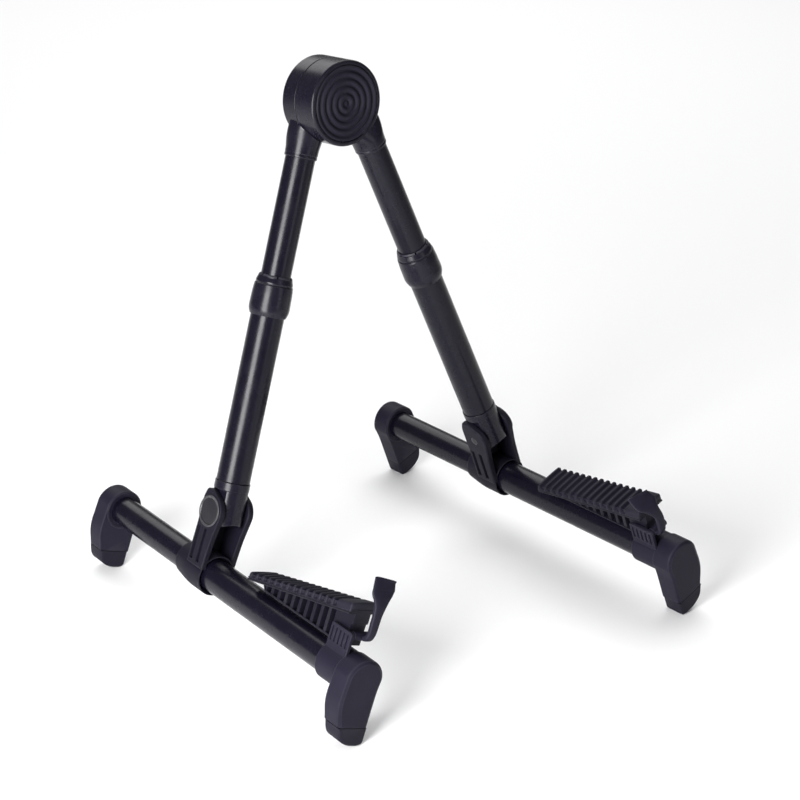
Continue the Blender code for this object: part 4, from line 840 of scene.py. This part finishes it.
def hook_rings(out):
    """Hook: a rounded bar section carried along a bent path, widening to the flared head.

    Path, inner edge and outer edge are Catmull-Rom curves, and the section is the superellipse
    |a|^2.8 + |b|^4 = 1 of the two. The top slants down to the same side on both feet. The right foot's
    head stands a little further in.
    """
    knots = np.array([
        # forward, up, outer edge, inner edge as reach inward
        (0.0000, 0.0000, -0.0004, 0.0062), (0.0043, -0.0002, -0.0004, 0.0062),
        (0.0066, 0.0020, -0.0005, 0.0062), (0.0078, 0.0065, -0.0006, 0.0062),
        (0.0079, 0.0125, -0.0009, 0.0063), (0.0078, 0.0186, -0.0010, 0.0067),
        (0.0073, 0.0248, -0.0015, 0.0086), (0.0063, 0.0290, -0.0026, 0.0110),
        (0.0054, 0.0313, -0.0039, 0.0130), (0.0044, 0.0335, -0.0046, 0.0146),
        (0.0036, 0.0352, -0.0047, 0.0157), (0.0026, 0.0374, -0.0043, 0.0166),
        (0.0000, 0.0421, -0.0026, 0.0171), (-0.0012, 0.0433, -0.0018, 0.0170)])
    curve = spline(knots, 120)
    head_shift = 0.0036 if out > 0 else 0.0
    curve[:, 2:] += head_shift * smooth(curve[:, 1:2], 0.014, 0.033)
    path = curve[:, :2]
    along = np.gradient(path, axis=0)
    along /= np.linalg.norm(along, axis=1)[:, None]
    across = np.stack([-along[:, 1], along[:, 0]], -1)
    angle = np.linspace(0, math.tau, 48, endpoint=False)
    c, s = np.cos(angle), np.sin(angle)
    wide = np.sign(c) * np.abs(c) ** (2 / 4.0)
    thick = np.sign(s) * np.abs(s) ** (2 / 2.8)
    walk = np.linspace(0, 1, len(curve))
    end = np.minimum(smooth(walk, -0.03, 0.02), 1 - 0.75 * np.clip((walk - 0.985) / 0.015, 0, 1) ** 2)
    half_thick = 0.0019 * (1 - 0.22 * smooth(walk, 0.45, 0.9)) * np.maximum(end, 0.25)
    middle = (curve[:, 2] + curve[:, 3]) / 2
    narrowing = 1 - 0.10 * smooth(walk, 0.6, 0.85)
    half_wide = (curve[:, 3] - curve[:, 2]) / 2 * (0.94 + 0.06 * end) * narrowing
    reach = middle[:, None] + half_wide[:, None] * wide
    point = path[:, None] + across[:, None] * (half_thick[:, None] * thick)[..., None]
    slant = 0.0038 * smooth(walk, 0.62, 1.0)[:, None] * (0.5 - 0.5 * out * wide)
    point = point - along[:, None] * slant[..., None]
    return np.stack([-out * reach, -point[..., 0], point[..., 1]], -1)


# Settings

def length_setting(name, description, default):
    """A small length, such as a rounding or a depth."""
    return FloatProperty(name=name, description=description, default=default, unit='LENGTH', precision=5)


def colour_setting(name, description, default):
    """A colour of a surface."""
    return FloatVectorProperty(name=name, description=description, default=default, subtype='COLOR',
                               size=3, min=0, max=1)


def gloss_setting(name, description, default):
    """A roughness from 0 to 1."""
    return FloatProperty(name=name, description=description, default=default, subtype='FACTOR', min=0, max=1)


def power_setting(name, description, default):
    """The power of a light."""
    return FloatProperty(name=name, description=description, default=default, unit='POWER')


class StandSizes(bpy.types.PropertyGroup):
    """Sizes that a user of the stand would change."""
    tube_lip: length_setting("Tube lip", "Rounding of the tubes' cut ends", 0.00035)
    hub_edge: length_setting("Hub edge", "Rounding of the hub's rear rim", 0.0012)
    cheek_edge: length_setting("Cheek edge", "Rounding of the yoke cheeks", 0.0013)
    groove_depth: length_setting("Groove depth", "Depth of the cheeks' grooves", 0.0020)
    cap_bevel: length_setting("Cap bevel", "Width of the foot caps' bevelled face rim", 0.0022)


class StandFinish(bpy.types.PropertyGroup):
    """Colours and gloss of the stand's materials."""
    plastic: colour_setting("Moulded plastic", "Colour of the moulded parts", (0.0120, 0.0108, 0.0202))
    plastic_roughness: gloss_setting("Plastic roughness", "Gloss of the moulded parts", 0.5)
    satin: colour_setting("Satin plastic", "Colour of the hub, collars and knuckles",
                          (0.0064, 0.0055, 0.0112))
    tube: colour_setting("Tube paint", "Colour of the painted tubes", (0.0042, 0.0037, 0.0085))
    tube_roughness: gloss_setting("Paint roughness", "Gloss of the painted tubes", 0.26)
    rubber: colour_setting("Rubber", "Colour of the pads and soles", (0.0104, 0.0094, 0.0168))
    gloss: colour_setting("Pivot disc", "Colour of the polished pivot discs", (0.011, 0.0105, 0.014))


class StandStage(bpy.types.PropertyGroup):
    """Camera, floor and light round the stand."""
    camera_place: FloatVectorProperty(name="Camera place", description="Where the camera stands", size=3,
                                      subtype='TRANSLATION', unit='LENGTH',
                                      default=(-0.9841, -1.2119, 0.8855))
    azimuth: FloatProperty(name="Azimuth", description="Heading of the camera from +Y towards +X",
                           subtype='ANGLE', default=math.atan2(0.5771, 0.6997))
    tilt: FloatProperty(name="Tilt", description="How far the camera looks down", subtype='ANGLE',
                        default=math.asin(0.4212))
    lens: FloatProperty(name="Lens", description="Focal length on a 36 mm wide sensor, in millimetres",
                        default=104.51)
    key_light: power_setting("Key light", "Power of the light at the left", 25.0)
    fill_light: power_setting("Fill light", "Power of the light in front", 3.8)
    top_light: power_setting("Top light", "Power of the large light overhead", 76.0)
    room_light: FloatProperty(name="Room light", description="Brightness of the room round the stand",
                              default=0.15)
    floor_colour: colour_setting("Floor", "Colour of the floor", (0.93, 0.93, 0.935))


# Operators

class GUITAR_STAND_OT_hub(bpy.types.Operator):
    """Build the two hub halves with their leg sockets, the ringed pad and the rear cover"""
    bl_idname = "guitar_stand.hub"
    bl_label = "Hub"

    def execute(self, context):
        edge = context.scene.guitar_stand_sizes.hub_edge
        hub = hub_place()
        front_seam = HUB_SEAM - HUB_SEAM_GAP / 2
        back_seam = HUB_SEAM + HUB_SEAM_GAP / 2
        lip = PAD_RADIUS + 0.0006
        floor = -HUB_HALF + PAD_RECESS
        seat, seat_floor = 0.0223, HUB_HALF - 0.0018
        front = turned([(HUB_BORE, front_seam), (HUB_RADIUS, front_seam), (HUB_RADIUS, -HUB_HALF + 0.0011),
                        (HUB_RADIUS - 0.0012, -HUB_HALF), (lip, -HUB_HALF), (lip, floor), (HUB_BORE, floor)],
                       [0.0004, 0.0006, 0.0005, 0.0005, 0.0003, 0.0003, 0.0004], count=160)
        rear = turned([(HUB_BORE, back_seam), (HUB_RADIUS, back_seam), (HUB_RADIUS, HUB_HALF),
                       (seat, HUB_HALF), (seat, seat_floor), (HUB_BORE, seat_floor)],
                      [0.0004, 0.0006, edge, 0.0004, 0.0003, 0.0004], count=160)
        for side, out, name, half in (("right", 1.0, "hub_front_housing", front),
                                      ("left", -1.0, "hub_rear_housing", rear)):
            socket = to_place(socket_rings(leg_reach(side, out), out), leg_place(side), hub)
            make_piece(context, name, [(half, True), socket], hub, "satin", 38)
        make_piece(context, "hub_front_pad", [turn(pad_profile(), 160, "Y")], hub, "rubber", 50)
        cover = turned([(0.0004, HUB_HALF - 0.0015), (0.022, HUB_HALF - 0.0015), (0.022, HUB_HALF + 0.0001),
                        (0.0205, HUB_HALF + 0.0006), (0.012, HUB_HALF + 0.0008), (0.0004, HUB_HALF + 0.0009)],
                       0.0003, 4, closed=False)
        make_piece(context, "hub_rear_cover", [cover], hub, "satin")
        return {'FINISHED'}


class GUITAR_STAND_OT_tubes(bpy.types.Operator):
    """Build the painted leg tubes and foot tubes with their rolled lips"""
    bl_idname = "guitar_stand.tubes"
    bl_label = "Tubes"

    def execute(self, context):
        lip = context.scene.guitar_stand_sizes.tube_lip
        bottom = KNUCKLE_TOP + FIT
        for side, out in SIDES:
            leg, foot = leg_place(side), foot_place(side)
            top = leg_reach(side, out) - SOCKET_BORE_TOP - FIT
            for name, radius, start, end, place, axis in (
                    ("upper_tube", INNER_TUBE, top - UPPER_TUBE_LENGTH, top, leg, "Z"),
                    ("lower_tube", OUTER_TUBE, bottom, bottom + LOWER_TUBE_LENGTH, leg, "Z"),
                    ("front_foot_tube", OUTER_TUBE, *FRONT_TUBE_SPAN, foot, "Y"),
                    ("rear_foot_tube", INNER_TUBE, *REAR_TUBE_SPAN, foot, "Y")):
                rings = tube_rings(radius, start, end, axis, lip)
                make_piece(context, f"{side}_{name}", [(rings, True)], place,
                           "tube" if axis == "Z" else "foot tube")
        return {'FINISHED'}


class GUITAR_STAND_OT_collars(bpy.types.Operator):
    """Build the twist collars and the slotted collets inside them"""
    bl_idname = "guitar_stand.collars"
    bl_label = "Lock collars"

    def execute(self, context):
        tube_top = KNUCKLE_TOP + FIT + LOWER_TUBE_LENGTH
        foot = tube_top - COLLAR_GRIP
        head = foot + COLLAR_LENGTH
        run, bore = INNER_TUBE + FIT, OUTER_TUBE + FIT
        finger = run + 0.0011
        mouth = finger + FIT
        # each row is a corner's radius and station, and the reach of its bend
        corners = np.array([
            (bore, foot, 0.0003), (bore + 0.0006, foot, 0.0004), (0.0147, foot + 0.0034, 0.0014),
            (COLLAR_RADIUS, foot + 0.0062, 0.002), (COLLAR_RADIUS - 0.0003, head - 0.011, 0.003),
            (0.0142, head - 0.0057, 0.0008), (0.0134, head - 0.0051, 0.0003), (0.0137, head - 0.0044, 0.0003),
            (0.0137, head - 0.0036, 0.0004), (0.0127, head - 0.0004, 0.0004), (0.0124, head, 0.0002),
            (mouth, head, 0.0002), (mouth, tube_top + 0.003, 0.0003), (bore, tube_top + 0.0022, 0.0003)])
        collar = turned(corners[:, :2], corners[:, 2], axis="Z")
        tip, seat = head + 0.0015, tube_top + FIT
        profile = eased([(run, seat), (finger, seat), (finger, tip - 0.0009), (finger - 0.0005, tip),
                         (run, tip)], 0.0002, 3)
        slot_floor = tube_top + 0.0035

        def fingers(radius, station, angle):
            """Heights above the slots' floor drop to it inside six narrow gaps."""
            off_gap = np.abs((angle * 6 / math.tau + 0.5) % 1 - 0.5)
            gap = 1 - smooth(off_gap, 0.045, 0.06)
            return radius, station - np.maximum(station - slot_floor, 0) * gap[None]

        collet = turn(profile, 300, twist=fingers)
        for side, _ in SIDES:
            leg = leg_place(side)
            make_piece(context, f"{side}_lock_collar", [(collar, True)], leg, "satin")
            make_piece(context, f"{side}_collet", [(collet, True)], leg, "nylon")
        return {'FINISHED'}


class GUITAR_STAND_OT_knuckles(bpy.types.Operator):
    """Build the leg knuckles: a sleeve under the tube and an arched tongue"""
    bl_idname = "guitar_stand.knuckles"
    bl_label = "Knuckles"

    def execute(self, context):
        spigot, end = OUTER_TUBE - TUBE_WALL - FIT, KNUCKLE_TOP + 0.013
        sleeve = turned([(NEAR_AXIS, SHOULDER), (SLEEVE_RADIUS, SHOULDER), (SLEEVE_RADIUS, KNUCKLE_TOP),
                         (spigot, KNUCKLE_TOP), (spigot, end), (NEAR_AXIS, end)],
                        [0, 0.0006, 0.0005, 0.0002, 0.001, 0], 5, 112, "Z", closed=False)
        for side, _ in SIDES:
            make_piece(context, f"{side}_knuckle", [sleeve, tongue_rings()], leg_place(side), "satin")
        return {'FINISHED'}


class GUITAR_STAND_OT_yokes(bpy.types.Operator):
    """Build the yokes with their grooved cheeks, the pivot discs and the pins"""
    bl_idname = "guitar_stand.yokes"
    bl_label = "Yokes"

    def execute(self, context):
        sizes = context.scene.guitar_stand_sizes
        front, face, inner = -YOKE_FRONT, YOKE_RADIUS, YOKE_RADIUS - CHEEK_THICKNESS
        sleeve = turned([(0.0113, YOKE_BACK), (0.0125, YOKE_BACK), (0.0129, YOKE_BACK - 0.0013),
                         (face, 0.0105), (face, front), (0.0146, front), (0.0130, front + 0.0030),
                         (0.0128, 0.0240), (0.0113, 0.0240)],
                        [0.0003, 0.0004, 0.002, 0.006, 0.0006, 0.0003, 0.001, 0.0003, 0.0003], 6)
        grooves = [(station - GROOVE_HALF, station + GROOVE_HALF, GROOVE_BOTTOM, GROOVE_TOP)
                   for station in GROOVE_STATIONS]
        edge, depth = sizes.cheek_edge, sizes.groove_depth
        cheeks = [grooved_plate(cheek_outline(), low, high, edge, grooves, depth, faces)
                  for low, high, faces in ((-face, -inner, (1, 0)), (inner, face, (0, 1)))]
        sweep = math.hypot(0.0045, TONGUE_TOE) + 0.0005
        reach = inner + 0.001
        web_top = PIVOT_HEIGHT - sweep
        web = plate(eased([(WEB_BACK, 0.013), (WEB_FRONT, 0.013), (WEB_FRONT, web_top), (WEB_BACK, web_top)],
                          0.0006, 4), -reach, reach, 0.0003)
        # the web's lower corners run on down to the round sleeve
        back, ahead = WEB_BACK + 0.0002, WEB_FRONT - 0.0002
        heel = eased([(back, 0.0099), (ahead, 0.0099), (ahead, 0.0150), (back, 0.0150)], 0.0004, 4)
        heels = [plate(heel, low, high, 0.0002) for low, high in ((-reach, -0.0086), (0.0086, reach))]
        raise_to_pivot = np.array([0, 0, PIVOT_HEIGHT])
        cap, pin = PIVOT_CAP_RADIUS, PIVOT_PIN_RADIUS
        disc_profile = eased([(NEAR_AXIS, face - 0.0008), (cap, face - 0.0008), (cap, face + 0.0011),
                              (cap - 0.0013, face + 0.0011), (cap - 0.0019, face + 0.0004),
                              (NEAR_AXIS, face + 0.0005)],
                             [0, 0.0002, 0.00045, 0.00035, 0.0003, 0], 5, closed=False)
        pin_profile = eased([(NEAR_AXIS, face - 0.002), (pin, face - 0.002), (pin, -face + 0.0002),
                             (pin - 0.0005, -face - 0.0002), (0.0016, -face - 0.0004),
                             (NEAR_AXIS, -face - 0.00045)],
                            [0, 0.0003, 0.0003, 0.0003, 0.0004, 0], 5, closed=False)
        for side, out in SIDES:
            foot = foot_place(side)
            disc = turn(disc_profile * [1, out], 128, "X") + raise_to_pivot
            rod = turn(pin_profile * [1, out], 64, "X") + raise_to_pivot
            # the yoke takes the darker plastic that carries painted shade
            make_piece(context, f"{side}_yoke", [(sleeve, True), *cheeks, web, *heels], foot, "painted_shade")
            make_piece(context, f"{side}_pivot_cap", [disc], foot, "gloss")
            make_piece(context, f"{side}_pivot_pin", [rod], foot, "steel")
        return {'FINISHED'}


class GUITAR_STAND_OT_caps(bpy.types.Operator):
    """Build the foot caps with their necks and arm brackets, and the rubber soles"""
    bl_idname = "guitar_stand.caps"
    bl_label = "Foot caps"

    def execute(self, context):
        bevel = context.scene.guitar_stand_sizes.cap_bevel
        neck = turned([(0.0128, -0.1790), (NECK_RADIUS, -0.1790), (NECK_RADIUS, -0.1545), (0.0128, -0.1545)],
                      [0.0003, 0.0003, 0.0009, 0.0003])
        start, end = EAR_SPAN
        ear = eased([(start, 0.006), (end, 0.006), (end, 0.0290), (start, 0.0290)],
                    [0.0003, 0.0003, 0.0030, 0.0016], 10)
        combs = [(s, s + COMB_SLOT, CAP_RADIUS + 0.0006, 0.0266)
                 for s in COMB_FIRST + COMB_PITCH * np.arange(5)]
        ear = grooved_plate(ear, -EAR_OUT, -EAR_IN, 0.0006, combs, 0.0011, (1, 0))
        hood = turned([(INNER_TUBE + FIT, 0.1300), (0.0132, 0.1262), (0.0132, 0.1212), (0.0150, 0.1212),
                       (0.0150, 0.1300)], [0.0002, 0.0005, 0.0003, 0.0005, 0.0002])
        for side, out in SIDES:
            foot = foot_place(side)
            side_drop, foot_up = abs(float(foot[1][0][2])), float(foot[1][2][2])
            block = cap_rings(out, *CAP_SPANS["front"], 0.0005, bevel, 1)
            make_piece(context, f"{side}_front_cap", [(neck, True), block, ear], foot, "plastic", 36)
            tail = cap_rings(out, *CAP_SPANS["rear"], 0.0005, bevel * 0.8, -1)
            make_piece(context, f"{side}_rear_cap", [tail, (hood, True)], foot, "plastic", 36)
            for name, span in CAP_SPANS.items():
                sole = sole_rings(out, foot_up, side_drop, *span)
                make_piece(context, f"{side}_{name}_sole", [sole], foot, "rubber", 40)
        return {'FINISHED'}


class GUITAR_STAND_OT_arms(bpy.types.Operator):
    """Build the ribbed cradle arms, their rubber pads and their pins"""
    bl_idname = "guitar_stand.arms"
    bl_label = "Cradle arms"

    def execute(self, context):
        arm, pad = arm_rings(), arm_pad_rings()
        near, far = 0.0014 - EAR_OUT, ROOT_HALF
        for side, _ in SIDES:
            foot = foot_place(side)
            # the arm takes the darker plastic that carries painted shade
            make_piece(context, f"{side}_arm", [arm], foot, "painted_shade", 30)
            make_piece(context, f"{side}_arm_pad", [pad], foot, "rubber", 60)
            for name, (forward, up, radius) in (("arm", ARM_PIN), ("hook", HOOK_PIN)):
                pin = turned([(0.0001, near), (radius, near + 0.0003), (radius, far - 0.0003), (0.0001, far)],
                             [0, 0.0004, 0.0004, 0], 5, 48, "X", closed=False) + [0, -forward, up]
                make_piece(context, f"{side}_{name}_pin", [pin], foot, "steel")
        return {'FINISHED'}


class GUITAR_STAND_OT_hooks(bpy.types.Operator):
    """Build the retaining hooks on their barrels"""
    bl_idname = "guitar_stand.hooks"
    bl_label = "Hooks"

    def execute(self, context):
        inner, outer = 0.0019, 0.0032
        barrel = turned([(inner, -ROOT_HALF), (outer, -ROOT_HALF), (outer, ROOT_HALF), (inner, ROOT_HALF)],
                        [0.0002, 0.0005, 0.0005, 0.0002], 5, 64, "X")
        for side, out in SIDES:
            make_piece(context, f"{side}_hook", [hook_rings(out), (barrel, True)], hook_place(side),
                       "plastic", 50)
        return {'FINISHED'}


class GUITAR_STAND_OT_inner_parts(bpy.types.Operator):
    """Give the bolt, nut, washer and guides inside the stand their materials"""
    bl_idname = "guitar_stand.inner_parts"
    bl_label = "Inner parts"

    def execute(self, context):
        steel = surface_finish("stand inner steel", (0.09, 0.09, 0.095), 0.34, 2400.0, 0.000004, metallic=0.9,
                               own=False)
        nylon = surface_finish("stand inner nylon", tuple(context.scene.guitar_stand_finish.plastic), 0.55,
                               1600.0, 0.00001, own=False)
        finishes = {"hub_pivot_bolt": steel, "hub_lock_nut": steel, "hub_friction_washer": nylon,
                    "left_guide_plug": nylon, "right_guide_plug": nylon}
        for name, look in finishes.items():
            node = frame["nodes"][name]
            node.data.materials.clear()
            node.data.materials.append(look)
        return {'FINISHED'}


class GUITAR_STAND_OT_stage(bpy.types.Operator):
    """Set up the floor, the room light, three soft lights and the camera"""
    bl_idname = "guitar_stand.stage"
    bl_label = "Stage"

    def execute(self, context):
        stage = context.scene.guitar_stand_stage
        scene = context.scene
        scene.view_settings.view_transform = 'Standard'
        self.lay_floor(scene, stage)
        self.light_room(scene, stage)
        middle = np.array([0.0, 0.02, 0.22])
        for name, power, place, size in (
                ("key light", stage.key_light, (-1.00, -0.39, 0.44), (0.50, 0.84)),
                ("fill light", stage.fill_light, (0.25, -1.6, 0.8), (0.5, 1.5)),
                ("top light", stage.top_light, (0.9, 1.2, 2.3), (3.2, 3.2))):
            self.hang_light(scene, name, power, np.array(place), size, middle)
        camera = bpy.data.objects.new("camera", bpy.data.cameras.new("camera"))
        scene.collection.objects.link(camera)
        ahead = np.array([math.sin(stage.azimuth) * math.cos(stage.tilt),
                          math.cos(stage.azimuth) * math.cos(stage.tilt), -math.sin(stage.tilt)])
        right = np.array([math.cos(stage.azimuth), -math.sin(stage.azimuth), 0.0])
        camera.matrix_world = self.looking(stage.camera_place, right, -ahead)
        camera.data.sensor_width = 36.0
        camera.data.lens = stage.lens
        camera.data.clip_end = 60.0
        scene.camera = camera
        return {'FINISHED'}

    def lay_floor(self, scene, stage):
        """A level, pale square of 30 m."""
        side = 15.0
        mesh = bpy.data.meshes.new("floor")
        mesh.from_pydata([(-side, -side, 0), (side, -side, 0), (side, side, 0), (-side, side, 0)], [],
                         [(0, 1, 2, 3)])
        look = bpy.data.materials.new("pale floor")
        look.use_nodes = True
        shader = look.node_tree.nodes["Principled BSDF"]
        shader.inputs["Base Color"].default_value = (*stage.floor_colour, 1)
        shader.inputs["Roughness"].default_value = 0.9
        shader.inputs["Specular IOR Level"].default_value = 0.1
        mesh.materials.append(look)
        floor = bpy.data.objects.new("floor", mesh)
        scene.collection.objects.link(floor)

    def light_room(self, scene, stage):
        """An even pale room all round."""
        world = bpy.data.worlds.new("pale room")
        world.use_nodes = True
        scene.world = world
        room = world.node_tree.nodes["Background"]
        room.inputs["Color"].default_value = (1, 1, 1, 1)
        room.inputs["Strength"].default_value = stage.room_light

    def hang_light(self, scene, name, power, place, size, target):
        """A rectangular light that looks at the middle of the stand."""
        lamp = bpy.data.lights.new(name, 'AREA')
        lamp.shape = 'RECTANGLE'
        lamp.size, lamp.size_y = size
        lamp.energy = power
        light = bpy.data.objects.new(name, lamp)
        scene.collection.objects.link(light)
        away = place - target
        away /= np.linalg.norm(away)
        right = np.cross([0.0, 0.0, 1.0], away)
        right /= np.linalg.norm(right)
        light.matrix_world = self.looking(place, right, away)

    def looking(self, place, right, away):
        """Matrix of a camera or light at a place, from its right-hand and backward axes."""
        matrix = np.eye(4)
        matrix[:3, :3] = np.stack([right, np.cross(away, right), away], -1)
        matrix[:3, 3] = place
        return Matrix(matrix.tolist())


PIECE_OPERATORS = (GUITAR_STAND_OT_hub, GUITAR_STAND_OT_tubes, GUITAR_STAND_OT_collars,
                   GUITAR_STAND_OT_knuckles, GUITAR_STAND_OT_yokes, GUITAR_STAND_OT_caps,
                   GUITAR_STAND_OT_arms, GUITAR_STAND_OT_hooks, GUITAR_STAND_OT_inner_parts,
                   GUITAR_STAND_OT_stage)


class GUITAR_STAND_PT_panel(bpy.types.Panel):
    """Sidebar panel that lists the stand's settings and pieces"""
    bl_idname = "GUITAR_STAND_PT_panel"
    bl_label = "Guitar Stand"
    bl_space_type = 'VIEW_3D'
    bl_region_type = 'UI'
    bl_category = "Guitar Stand"

    def draw(self, context):
        layout = self.layout
        for group in (context.scene.guitar_stand_sizes, context.scene.guitar_stand_finish,
                      context.scene.guitar_stand_stage):
            box = layout.box()
            for name in group.bl_rna.properties.keys():
                if name not in ("rna_type", "name"):
                    box.prop(group, name)
        for operator in PIECE_OPERATORS:
            layout.operator(operator.bl_idname)


CLASSES = (StandSizes, StandFinish, StandStage) + PIECE_OPERATORS + (GUITAR_STAND_PT_panel,)


def register():
    for cls in CLASSES:
        bpy.utils.register_class(cls)
    bpy.types.Scene.guitar_stand_sizes = PointerProperty(type=StandSizes)
    bpy.types.Scene.guitar_stand_finish = PointerProperty(type=StandFinish)
    bpy.types.Scene.guitar_stand_stage = PointerProperty(type=StandStage)


def unregister():
    del bpy.types.Scene.guitar_stand_stage
    del bpy.types.Scene.guitar_stand_finish
    del bpy.types.Scene.guitar_stand_sizes
    for cls in reversed(CLASSES):
        bpy.utils.unregister_class(cls)


def main():
    register()
    for operator in PIECE_OPERATORS:
        group, name = operator.bl_idname.split(".")
        result = getattr(getattr(bpy.ops, group), name)()
        if result != {'FINISHED'}:
            raise RuntimeError(f"{operator.bl_label} was not built")


if __name__ == "__main__":
    main()
